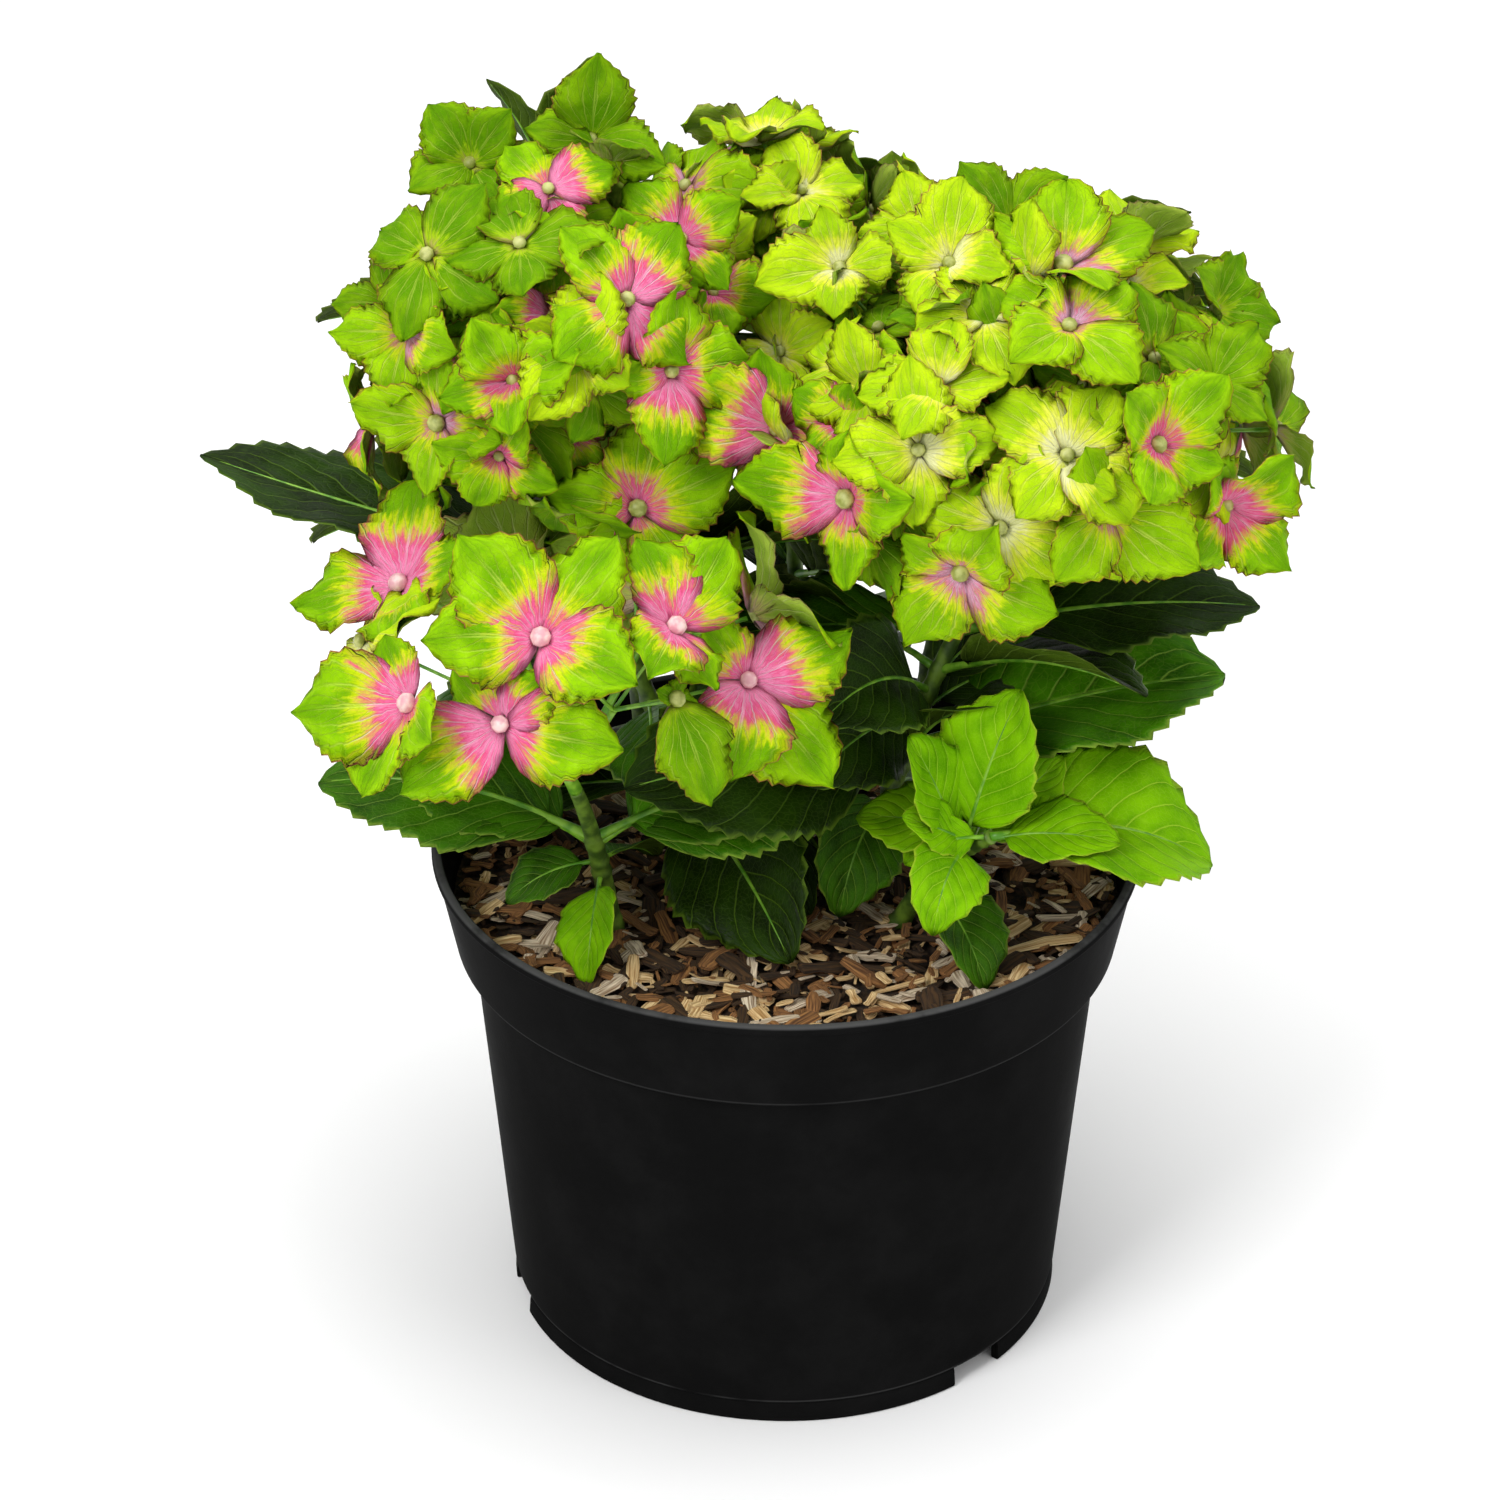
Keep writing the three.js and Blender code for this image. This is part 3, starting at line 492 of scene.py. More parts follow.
def sepal_tissue(name, deep, light, band, heart, core, heart_vein, vein, reach, edge):
    """A coloured sepal, soft and satin. Its heart is pale at the core and deepens outwards in streaks,
    which break up into a thin yellow band and then green flesh, deep by the midrib and light at the edge.
    Pale veins fan out from the claw. The toothed edge is thinly rosy. reach is how far the heart goes, as a
    share of the sepal, and the five columns of the pattern map vary it."""
    material, tree, skin = blank(name)
    out, along, uv = cell_places(tree)
    place = add(tree, "ShaderNodeSeparateXYZ", {0: uv}).outputs
    across = sum_up(tree, "MULTIPLY x 5; FRACT _; SUBTRACT _ 0.5; DIVIDE _ 0.46", x=place[0])
    column = sum_up(tree, "MULTIPLY x 5; FLOOR _", x=place[0])
    fan = sum_up(tree, "ADD along 0.14; DIVIDE a _", along=along, a=across)
    ray = add(tree, "ShaderNodeCombineXYZ", {
        0: sum_up(tree, "MULTIPLY f 5.5; ADD _ c", f=fan, c=sum_up(tree, "MULTIPLY c 17", c=column)),
        1: sum_up(tree, "MULTIPLY along 2.6", along=along)}).outputs[0]
    streak = add(tree, "ShaderNodeTexNoise", {
        "Vector": ray, "Scale": 1.0, "Detail": 4.0, "Roughness": 0.7}).outputs[0]
    drift = add(tree, "ShaderNodeTexNoise", {"Vector": uv, "Scale": 34.0, "Detail": 2.0}).outputs[0]
    spokes = sum_up(tree, "MULTIPLY f 1.9; ADD _ d; FRACT _; SUBTRACT _ 0.5; ABSOLUTE _; SUBTRACT 0.5 _; "
                    "DIVIDE _ 0.085; SUBTRACT 1 _; MAXIMUM _ 0", f=fan,
                    d=sum_up(tree, "MULTIPLY d 0.3", d=drift))
    spokes = sum_up(tree, "MULTIPLY f k", f=spokes, k=put(tree, RAMP, along, 0.95, 0.45))
    side = veins(tree, out, along, uv, 5.0, 0.75, 0.05)
    mask = sum_up(tree, "MULTIPLY s k; MAXIMUM _ f", s=side, f=spokes, k=put(tree, RAMP, along, 0.1, 0.6))
    cells = add(tree, "ShaderNodeTexVoronoi", {"Vector": uv, "Scale": 120.0}, feature="DISTANCE_TO_EDGE")
    net = put(tree, RAMP, cells.outputs[0], 0.09, 0.0)
    ragged = sum_up(tree, "SUBTRACT s 0.5; MULTIPLY _ 0.55; ADD _ along; ADD _ p; ADD _ c", s=streak,
                    along=along, p=sum_up(tree, "SUBTRACT p 0.5; MULTIPLY _ 0.35", p=drift),
                    c=sum_up(tree, "SUBTRACT c 2; MULTIPLY _ 0.05", c=column))
    mottle = add(tree, "ShaderNodeTexNoise", {"Vector": uv, "Scale": 21.0, "Detail": 3.0}).outputs[0]
    tone = sum_up(tree, "MULTIPLY out 0.55; ADD _ m; ADD _ c", out=out,
                  m=sum_up(tree, "SUBTRACT m 0.4; MULTIPLY _ 1.3", m=mottle),
                  c=sum_up(tree, "SUBTRACT c 2; MULTIPLY _ 0.07", c=column))
    colour = put(tree, BLEND, put(tree, RAMP, tone, 0.05, 0.85), deep, light)
    colour = put(tree, BLEND, put(tree, RAMP, ragged, reach + 0.22, reach + 0.03), colour, band)
    rim = put(tree, RAMP, out, 0.82, 0.97)
    colour = put(tree, BLEND, sum_up(tree, "MULTIPLY e 0.5", e=rim), colour, band)
    colour = put(tree, BLEND, sum_up(tree, "MULTIPLY n 0.1", n=net), colour, vein)
    fade = put(tree, RAMP, along, 1.1, 0.15)
    colour = put(tree, BLEND, sum_up(tree, "MULTIPLY m k", m=mask, k=fade), colour, vein)
    flame = put(tree, BLEND, put(tree, RAMP, ragged, reach * 0.2, reach * 0.95), core, heart)
    pale = put(tree, RAMP, streak, 0.5, 0.68)
    flame = put(tree, BLEND, sum_up(tree, "MULTIPLY s 0.5", s=pale), flame, core)
    thread = add(tree, "ShaderNodeTexNoise", {
        "Vector": ray, "Scale": 2.7, "Detail": 3.0, "Roughness": 0.75}).outputs[0]
    deeper = put(tree, RAMP, thread, 0.47, 0.6)
    flame = put(tree, BLEND, sum_up(tree, "MULTIPLY t 0.75", t=deeper), flame, heart)
    flame = put(tree, BLEND, mask, flame, heart_vein)
    colour = put(tree, BLEND, put(tree, RAMP, ragged, reach + 0.09, reach - 0.12), colour, flame)
    rim = put(tree, RAMP, out, 0.955, 0.99)
    colour = put(tree, BLEND, sum_up(tree, "MULTIPLY e 0.8", e=rim), colour, edge)
    height = sum_up(tree, "MULTIPLY n 0.25; ADD _ m; SUBTRACT 1 _", n=net, m=mask)
    bump = add(tree, "ShaderNodeBump", {"Height": height, "Strength": 0.7, "Distance": 0.0006})
    connect(tree, skin, {"Base Color": colour, "Normal": bump.outputs[0], "Roughness": 0.6, "IOR": 1.4,
                         "Specular IOR Level": 0.035})
    return material


def plain_tissue(name, deep, light, scale, rough):
    """Green bark, stalks and buds: two close tones in soft patches of the scale given, in millimetres."""
    material, tree, skin = blank(name)
    spot = add(tree, "ShaderNodeTexCoord").outputs["Object"]
    patch = add(tree, "ShaderNodeTexNoise", {"Vector": spot, "Scale": 1000 / scale, "Detail": 3.0}).outputs[0]
    colour = put(tree, BLEND, put(tree, RAMP, patch, 0.35, 0.65), deep, light)
    bump = add(tree, "ShaderNodeBump", {"Height": patch, "Strength": 0.3, "Distance": 0.0004})
    connect(tree, skin, {"Base Color": colour, "Normal": bump.outputs[0], "Roughness": rough})
    return material


def shredded_bark(name, deep, light):
    """A splinter of bark: matt, with fibres about 0.6 mm apart along it, light on the ridges and dark
    between."""
    material, tree, skin = blank(name)
    uv = add(tree, "ShaderNodeUVMap", uv_map="OFBake").outputs[0]
    fibre = add(tree, "ShaderNodeTexNoise", {
        "Vector": add(tree, "ShaderNodeMapping", {"Vector": uv, "Scale": (115.0, 12.0, 1.0)}).outputs[0],
        "Scale": 1.0, "Detail": 4.0}).outputs[0]
    colour = put(tree, BLEND, put(tree, RAMP, fibre, 0.3, 0.74), deep, light)
    bump = add(tree, "ShaderNodeBump", {"Height": fibre, "Strength": 0.7, "Distance": 0.0008})
    connect(tree, skin, {"Base Color": colour, "Normal": bump.outputs[0], "Roughness": 0.88})
    return material


def wet_peat():
    """Damp peat: near black, in crumbs of about 2 mm."""
    material, tree, skin = blank("damp peat")
    spot = add(tree, "ShaderNodeTexCoord").outputs["Object"]
    crumb = add(tree, "ShaderNodeTexNoise", {"Vector": spot, "Scale": 420.0, "Detail": 6.0}).outputs[0]
    colour = put(tree, BLEND, put(tree, RAMP, crumb, 0.4, 0.7), "#1a1109", "#4c3520")
    bump = add(tree, "ShaderNodeBump", {"Height": crumb, "Strength": 0.9, "Distance": 0.0015})
    connect(tree, skin, {"Base Color": colour, "Normal": bump.outputs[0], "Roughness": 0.85})
    return material


def moulded_polypropylene():
    """Black moulded polypropylene: dull satin, with a very fine orange-peel from the tool, about 1.5 mm,
    and faint handling marks. The top of the lip is painted light grey in places as a highlight, and fine
    light lines along the foot and the collar's lower edge are painted highlights."""
    material, tree, skin = blank("moulded black polypropylene")
    spot = add(tree, "ShaderNodeTexCoord").outputs["Object"]
    peel = add(tree, "ShaderNodeTexNoise", {"Vector": spot, "Scale": 650.0, "Detail": 2.0}).outputs[0]
    handled = add(tree, "ShaderNodeTexNoise", {
        "Vector": spot, "Scale": 28.0, "Detail": 5.0, "Roughness": 0.65}).outputs[0]
    height = add(tree, "ShaderNodeSeparateXYZ", {0: spot}).outputs[2]
    # Painted highlight: the top of the lip turns light grey where the handling noise is high.
    lip = put(tree, RAMP, height, (POT_HEIGHT - 0.9) / 1000, (POT_HEIGHT - 0.1) / 1000)
    lip_and_line_highlight = sum_up(tree, "MULTIPLY lip h", lip=lip, h=put(tree, RAMP, handled, 0.25, 0.5))
    # Painted highlights: thin light lines just above the foot step and at the collar's lower edge.
    for level, worn in ((FOOT_RING_HEIGHT + 1.3, 0.5), (POT_HEIGHT - COLLAR_HEIGHT + 1.4, 0.3)):
        painted_highlight_line = sum_up(tree, "SUBTRACT z level; ABSOLUTE _; DIVIDE _ 0.0006; SUBTRACT 1 _; MAXIMUM _ 0; "
                      "MULTIPLY _ h; MULTIPLY _ worn", z=height, level=level / 1000, worn=worn,
                      h=put(tree, RAMP, handled, 0.3, 0.5))
        lip_and_line_highlight = sum_up(tree, "MAXIMUM a b", a=lip_and_line_highlight, b=painted_highlight_line)
    colour = put(tree, BLEND, put(tree, RAMP, handled, 0.35, 0.75), "#101010", "#161616")
    # 4a4a4a is the grey of the painted highlights.
    colour = put(tree, BLEND, lip_and_line_highlight, colour, "#4a4a4a")
    rough = add(tree, "ShaderNodeMapRange", {0: handled, 1: 0.3, 2: 0.7, 3: 0.36, 4: 0.5}).outputs[0]
    bump = add(tree, "ShaderNodeBump", {"Height": peel, "Strength": 0.12, "Distance": 0.0003})
    connect(tree, skin, {"Base Color": colour, "Normal": bump.outputs[0], "Roughness": rough, "IOR": 1.49,
                         "Specular IOR Level": 0.002})
    return material


POLYPROPYLENE = moulded_polypropylene()
PEAT = wet_peat()
BARK = [
    shredded_bark("tan shredded bark", "#a87a40", "#ffe2aa"),
    shredded_bark("brown shredded bark", "#54331a", "#ae7a44"),
    shredded_bark("dark shredded bark", "#1c1005", "#54391a"),
    shredded_bark("weathered shredded bark", "#86694a", "#fdeccf"),
]
CANE_BARK = plain_tissue("green cane bark", "#35500f", "#6c8c28", 6, 0.5)
STALK = plain_tissue("green stalk", "#4d8a12", "#86b932", 5, 0.42)
LEAVES = [
    leaf_tissue("dull leaf underside", "#2a3c08", "#465e10", "#7f9a40", "#6f7f34", 0.6, 0.04),
    leaf_tissue("dark waxy leaf", "#0e1c01", "#243f04", "#58781f", "#6f9028", 0.4, 0.12),
    leaf_tissue("green waxy leaf", "#1f4202", "#3f7406", "#7ea438", "#8fb03c", 0.42, 0.1),
    leaf_tissue("young leaf", "#5b9800", "#84c204", "#acd636", "#b6d636", 0.48, 0.04),
    leaf_tissue("fresh green leaf", "#2c5e03", "#549808", "#94bc44", "#9cc040", 0.42, 0.08),
]
SEPALS = [sepal_tissue(*finish) for finish in (
    ("pale sepal underside", "#82a22c", "#a6be44", "#b8be5c", "#b98a74", "#b3a092", "#c3bc92", "#c8d480",
     0.12, "#a07a5c"),
    ("lime sepal", "#98c408", "#bede12", "#dae630", "#e4e274", "#eeeeb8", "#f4f2c6", "#e2ea6c",
     0.24, "#b4604c"),
    ("blushed sepal", "#76aa02", "#9ccb08", "#ccdc1c", "#cc5476", "#d4aac2", "#f0ceca", "#cde05a",
     0.24, "#a8503e"),
    ("pink-hearted sepal", "#649c02", "#94c808", "#c4d412", "#d83874", "#ea8eb6", "#f9c8da", "#c2dc52",
     0.36, "#b0504a"),
    ("green sepal", "#588c03", "#84b008", "#a8ca18", "#a8804c", "#b9a46c", "#c8bf7a", "#aecc46",
     0.02, "#96583a"),
)]
BEADS = [
    plain_tissue("olive bud", "#8d9440", "#bcbf74", 3, 0.45),
    plain_tissue("pink bud", "#d59aa4", "#efcfcb", 3, 0.45),
]


# ---- Where the plant grows ----
def hub_of(head):
    """Where a flower head's rays meet its stalk."""
    x, y, z = head["centre"]
    return np.array([x, y, z - 0.72 * head["rise"]], float)


def cane_line(shoot, at):
    """Places (n, 3) along a cane: a quadratic curve from its root to its flower head or tip."""
    x, y = shoot["root"]
    away = np.hypot(x, y) / RIM_RADIUS
    root = np.array([x, y, MULCH_LEVEL + MULCH_CROWN * (1 - away * away) + GAP + 0.4 - ROOT_DEPTH])
    end = hub_of(FLOWER_HEADS[shoot["head"]]) if "head" in shoot else np.array(shoot["tip"], float)
    bend = root + 0.35 * (end - root)
    bend[2] = root[2] + 0.62 * (end[2] - root[2])
    t = np.asarray(at, float)[..., None]
    return (1 - t) ** 2 * root + 2 * t * (1 - t) * bend + t * t * end


def cane_radius(at):
    """The cane's taper, with a flare where it leaves the ground."""
    flare = 1 + (ROOT_FLARE - 1) * np.maximum(0, 1 - at / 0.08)
    return flare * (CANE_ROOT_RADIUS + (CANE_TIP_RADIUS - CANE_ROOT_RADIUS) * at)


def knuckles_of(head):
    """Where the rays end and the pedicels begin."""
    centre = np.array(head["centre"], float)
    turn = 2 * np.pi * np.arange(head["rays"]) / head["rays"] + head["phase"]
    ring = np.stack([np.cos(turn), np.sin(turn), np.full_like(turn, 0.1)], -1) * 0.45 * head["spread"]
    return np.concatenate([ring + centre, [centre + [0, 0, 0.35 * head["rise"]]]])


def radii_of(head):
    """The radii of a head's dome along X, Y and Z."""
    return np.array([head["spread"], head["spread"], head["rise"]], float)


def dome_share(head, places):
    """How far out places lie in a head's dome: 1 on its surface."""
    return np.linalg.norm((places - np.array(head["centre"], float)) / radii_of(head), axis=-1)


def florets_of(name, seed):
    """Every floret of a head, as arrays: centre, facing, spin, radius, the root of its pedicel, and its
    colouring. The given places come first. Those on the spiral are left out where they crowd a neighbour or
    another head."""
    head = FLOWER_HEADS[name]
    given = np.array(head["places"], float).reshape(-1, 6)
    count = len(given) + head["florets"]
    draws = lehmer(seed, 5 * count).reshape(count, 5)
    step = np.arange(head["florets"])
    lowest = np.cos(np.radians(head["reach"]))
    down = (1 - lowest) * (step + 0.5) / max(head["florets"], 1)
    up = np.concatenate([np.cos(np.radians(given[:, 1])), 1 - down])
    spiral = step * GOLDEN_ANGLE + head["phase"] + 0.2 * (draws[len(given):, 0] - 0.5)
    bearing = np.concatenate([np.radians(given[:, 0]), spiral])
    size = np.concatenate([given[:, 2], np.ones(len(step))])
    level = np.sqrt(1 - up * up)
    outward = np.stack([level * np.cos(bearing), level * np.sin(bearing), up], -1)
    swell = (1 + 0.12 * (draws[:, 1] - 0.5))[:, None]
    centre = outward * radii_of(head) * swell + np.array(head["centre"], float)
    lean = np.stack([draws[:, 2] - 0.5, draws[:, 3] - 0.5, np.full(count, 0.35)], -1) * 0.4
    facing = unit(outward + lean)
    turned, leaned = np.radians(given[:, 4:]).T
    looking = np.stack([np.cos(turned) * np.sin(leaned), np.sin(turned) * np.sin(leaned), np.cos(leaned)], -1)
    facing[:len(given)] = np.where(leaned[:, None] > 0, looking, facing[:len(given)])
    tilt = np.degrees(np.arccos(up))
    # Old florets low on the dome have coloured up, and those on top are still lime.
    blush = head["old"] + (tilt - 60) / 160 + 0.9 * (draws[:, 0] - 0.5)
    kind = np.where(blush > 0.5, 3, np.where(blush > 0.18, 2, 1))
    kind = np.where((kind == 1) & (tilt > 62), 4, kind)
    kind[:len(given)] = given[:, 3]
    others = [dome for other, dome in FLOWER_HEADS.items() if other != name]
    keep = []
    for i in range(count):
        crowded = any(dome_share(dome, centre[i]) < CROWDED_WITHIN for dome in others)
        near = any(np.linalg.norm(centre[j] - centre[i]) < FLORET_SPACING * head["floret"] for j in keep)
        if not crowded and (i < len(given) or not near):
            keep.append(i)
    knuckles = knuckles_of(head)
    nearest = np.linalg.norm(centre[:, None] - knuckles[None], axis=-1).argmin(1)
    radius = size * head["floret"] * (0.88 + 0.24 * draws[:, 1])
    all_of = dict(place=np.arange(count), centre=centre, facing=facing, spin=2 * np.pi * draws[:, 4],
                  kind=kind, radius=radius, root=knuckles[nearest])
    return {key: value[keep] for key, value in all_of.items()}


def packed(name):
    """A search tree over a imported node, whose lengths are metres."""
    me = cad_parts[name].data
    return BVHTree.FromPolygons([v.co for v in me.vertices], [p.vertices for p in me.polygons])


def lies_on(tree, points, within):
    """Whether each point, in millimetres, is that near to the node's surface."""
    return np.array([tree.find_nearest(Vector(p / 1000))[3] * 1000 < within for p in points])


def leaf_spine(leaf, share):
    """Places, forward, side and up directions (n, 3) along a blade: the petiole is straight, then the blade
    bends down evenly from its lift by its droop."""
    outward = np.array([np.cos(leaf["bearing"]), np.sin(leaf["bearing"]), 0.0])
    side = np.array([-outward[1], outward[0], 0.0])
    up = np.array([0.0, 0.0, 1.0])
    middle = leaf["root"] + outward * leaf["length"] / 2
    middle = unit(middle * [1, 1, 0])
    roll = leaf["roll"] - np.radians(BLADE_LEAN) * middle @ side
    droop = leaf["droop"] or 1e-6
    climb = outward * np.cos(leaf["lift"]) + up * np.sin(leaf["lift"])
    neck = leaf["root"] + PETIOLE_SHARE * leaf["length"] * climb
    pitch = leaf["lift"] - droop * share
    reach = (np.sin(leaf["lift"]) - np.sin(pitch)) / droop
    rise = (np.cos(pitch) - np.cos(leaf["lift"])) / droop
    place = neck + leaf["length"] * (reach[:, None] * outward + rise[:, None] * up)
    forward = np.cos(pitch)[:, None] * outward + np.sin(pitch)[:, None] * up
    normal = np.cross(forward, side)
    rolled = side * np.cos(roll) + normal * np.sin(roll)
    return place, forward, rolled, np.cross(forward, rolled)


def leaves_of(name, seed, tree):
    """The leaves of a shoot in opposite pairs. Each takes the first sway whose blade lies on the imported
    solid."""
    shoot = SHOOTS[name]
    draws = iter(lehmer(seed, 10 * len(shoot["pairs"])))
    leaves = []
    for along, bearing, length, lift, droop, *share in shoot["pairs"]:
        for second in (0, 1):
            leaf = dict(
                root=cane_line(shoot, [along])[0],
                bearing=np.radians(bearing + second * (180 + 20 * (next(draws) - 0.5))),
                length=length * (1 - second * 0.2 * next(draws)) * (share[0] if second and share else 1),
                lift=np.radians(lift - second * 10 * next(draws)),
                droop=np.radians(droop),
                fold=np.radians(8 + 14 * next(draws)),
                roll=np.radians(20 * (next(draws) - 0.5)),
            )
            for sway in SWAYS:
                tried = dict(leaf, bearing=leaf["bearing"] + np.radians(sway))
                if lies_on(tree, leaf_spine(tried, np.array([0.25, 0.5, 0.7, 0.9]))[0], 2.0).all():
                    leaves.append(tried)
                    break
    return leaves


# ---- Shapes of the plant ----
def ovate(share):
    """The half width of an ovate blade at a share of its length, 1 at its widest."""
    return np.sin(np.pi * np.clip(share, 0, 1) ** 0.8) ** 0.8


LEAF_COLUMNS = np.array([-1, -0.9, -0.66, -0.4, -0.16, 0, 0.16, 0.4, 0.66, 0.9, 1])


def leaf_points(leaf, seed):
    """One leaf's upper face (rows, cols, 3). Across its spine the half width is ovate, the blade folds up
    from the midrib, its flesh puckers up between sunken side veins, its edge waves, and saw teeth about 6
    mm apart push the outermost corners out and forward."""
    rng = np.random.default_rng(seed)
    teeth = int(np.clip(leaf["length"] / 6, 6, 15))
    rows = 2 * teeth + 1
    across = LEAF_COLUMNS
    share = np.linspace(0.0, 1.0, rows)
    place, forward, side, up = leaf_spine(leaf, share)
    widest = LEAF_WIDTH_SHARE * leaf["length"] / 2 * leaf["breadth"]
    half = np.maximum(widest * ovate(share), 0.7)
    tooth = np.where(np.arange(rows) % 2 == 1, 1.0, 0.0) * smooth(share, 0.04, 0.16)
    tooth = tooth * (1 - 0.6 * smooth(share, 0.9, 1))
    edge = np.abs(across) > 0.99
    lateral = across * half[:, None] * (1 + edge * 0.085 * tooth[:, None])
    run = edge * tooth[:, None] * 0.02 * leaf["length"]
    phase = rng.uniform(0, 2 * np.pi, 2)
    far = np.abs(across)
    vein = np.pi * (LEAF_VEIN_PAIRS * (share[:, None] - LEAF_VEIN_SLANT * far) + 0.5)
    pucker = np.abs(np.sin(vein)) * smooth(far, 0, 0.3) * (1 - smooth(far, 0.8, 1))
    wave = np.sin(2 * np.pi * (2.3 * share[:, None] + phase[0]) + np.sign(across) * phase[1]) * far ** 2
    full = (half / widest)[:, None]
    height = (np.abs(lateral) * np.sin(leaf["fold"]) - 0.10 * far ** 2 * widest * np.sin(leaf["fold"])
              + 0.011 * leaf["length"] * pucker * full ** 0.5 + 0.028 * leaf["length"] * wave * full)
    return (place[:, None] + side[:, None] * (lateral * np.cos(leaf["fold"]))[..., None]
            + up[:, None] * height[..., None] + forward[:, None] * run[..., None])


SEPAL_ROWS = np.concatenate([[0.03, 0.13, 0.24, 0.34], np.linspace(0.4, 1.0, 13)])
SEPAL_COLUMNS = np.array([-1, -0.55, 0, 0.55, 1])
PLAIN_ROWS = np.concatenate([[0.03, 0.22, 0.4], np.linspace(0.52, 1.0, 6)])


def sepal_points(centre, facing, turn, length, rise, fall, share, rng):
    """Sepals' upper faces (n, rows, cols, 3) from arrays of n, with rows at the shares of the length. A
    sepal's midrib leaves the floret's centre at its rise and bends down by its fall on the way to the tip.
    It is broad near its base, widest before the middle and pointed. Its sides fold up, twist and ruffle,
    and saw teeth along the outer part lean towards the tip."""
    n, rows, across = len(length), len(share), SEPAL_COLUMNS
    level = np.where(np.abs(facing[:, 2:]) > 0.999, [[1.0, 0, 0]], np.cross([0, 0, 1.0], facing))
    first = unit(level)
    second = np.cross(facing, first)
    out = first * np.cos(turn)[:, None] + second * np.sin(turn)[:, None]
    side = np.cross(facing, out)
    fine = np.linspace(0, 1, 41)
    pitch = rise[:, None] - fall[:, None] * fine ** 1.5
    steps = np.stack([np.cos(pitch), np.sin(pitch)], -1)
    run = np.cumsum((steps[:, 1:] + steps[:, :-1]) / 2, axis=1)
    midrib = np.concatenate([np.zeros((n, 1, 2)), run], 1) / 40
    at = np.searchsorted(fine, share).clip(1, 40)
    part = ((share - fine[at - 1]) * 40)[:, None]
    midrib = midrib[:, at - 1] * (1 - part) + midrib[:, at] * part
    pitch = rise[:, None] - fall[:, None] * share ** 1.5
    place = out[:, None] * midrib[..., :1] + facing[:, None] * midrib[..., 1:]
    forward = out[:, None] * np.cos(pitch)[..., None] + facing[:, None] * np.sin(pitch)[..., None]
    up = facing[:, None] * np.cos(pitch)[..., None] - out[:, None] * np.sin(pitch)[..., None]
    twist = rng.normal(0, 0.28, n)[:, None, None] * share[None, :, None]
    aside = side[:, None] * np.cos(twist) + up * np.sin(twist)
    above = np.cross(forward, aside)
    wide = rng.uniform(0.38, 0.46, n)[:, None, None]
    half = np.maximum(share ** 0.78 * (1 - share) ** 1.08 * (1 + 0.2 * share) / 0.304, 0.03)
    tooth = np.where(np.arange(rows) % 2 == 0, 1.0, 0.0) * smooth(share, 0.3, 0.5)
    tooth[-1] = 0
    edge = np.abs(across) > 0.99
    lateral = wide * across * half[:, None] * (1 + edge * 0.085 * tooth[:, None])
    lean = edge * (tooth * 0.022)[:, None]
    fold = rng.uniform(-0.12, 0.55, n)[:, None, None]
    roll = rng.uniform(0.0, 0.35, n)[:, None, None]
    ruffle = rng.uniform(0.02, 0.095, n)[:, None, None]
    phase = rng.uniform(0, 2 * np.pi, (2, n))[:, :, None, None]
    waves = rng.uniform(1.6, 2.6, n)[:, None, None]
    far = np.abs(across)
    wave = np.sin(2 * np.pi * waves * share[:, None] + phase[0] + np.sign(across) * phase[1]) * far ** 2
    pucker = np.abs(np.sin(np.pi * (6 * (share[:, None] - 0.55 * far) + 0.5))) * (1 - far ** 4)
    height = (np.abs(lateral) * np.tan(fold) - roll * far ** 3 * half[:, None] * 0.5
              + ruffle * wave * smooth(share, 0.15, 0.5)[:, None] + 0.012 * pucker * half[:, None])
    points = (place[:, :, None] + aside[:, :, None] * lateral[..., None]
              + above[:, :, None] * height[..., None]
              + forward[:, :, None] * (lean * half[:, None])[None, ..., None])
    return centre[:, None, None] + length[:, None, None, None] * points


def bead_rings(steps):
    """Places from -1 to 1 along a ball's axis and its radius at each, both ends left to a closing point."""
    angle = np.linspace(0.0, np.pi, steps + 2)[1:-1]
    return -np.cos(angle), np.sin(angle)


def add_florets(piece, name, florets, rows, rng):
    """The sepals of florets, four to each: two pairs, the inner pair a little higher."""
    n, kind = len(florets["radius"]), florets["kind"]
    pick = np.repeat(np.arange(n), 4)
    quarter = np.tile(np.arange(4), n)
    inner = quarter % 2 == 0
    turn = florets["spin"][pick] + quarter * np.pi / 2 + rng.normal(0, 0.12, 4 * n)
    centre = florets["centre"][pick] + np.where(inner, 0.6, 0.0)[:, None] * florets["facing"][pick]
    cup = np.where(florets["place"] < -DEEPEST_LAYER / 2, 0.1, rng.uniform(0.05, 0.75, n))[pick]
    rise = cup + np.where(inner, 0.1, 0.0) + rng.normal(0, 0.14, 4 * n)
    fall = rng.uniform(0.1, 1.0, 4 * n) + 0.35 * cup
    length = florets["radius"][pick] * rng.uniform(0.95, 1.25, 4 * n) * np.where(inner, 0.95, 1.05)
    for place, shown in SEEN_SEPALS.get(name, {}).items():
        where = np.flatnonzero(florets["place"][pick] == place)
        if len(where):
            turned, above, reach = np.array(shown, float).T
            turn[where], length[where] = np.radians(turned), reach
            fall[where] = 0.25 + 0.3 * rng.random(len(where))
            rise[where] = np.radians(above) + 0.55 * fall[where]
    points = sepal_points(centre, florets["facing"][pick], turn, length, rise, fall, rows, rng)
    shade = rng.integers(0, 5, 4 * n)
    add_blades(piece, points, rows, SEPAL_COLUMNS, np.stack([shade, kind[pick]], -1),
               np.stack([shade, np.zeros(4 * n, int)], -1), SEPAL_THICKNESS, kind[pick])


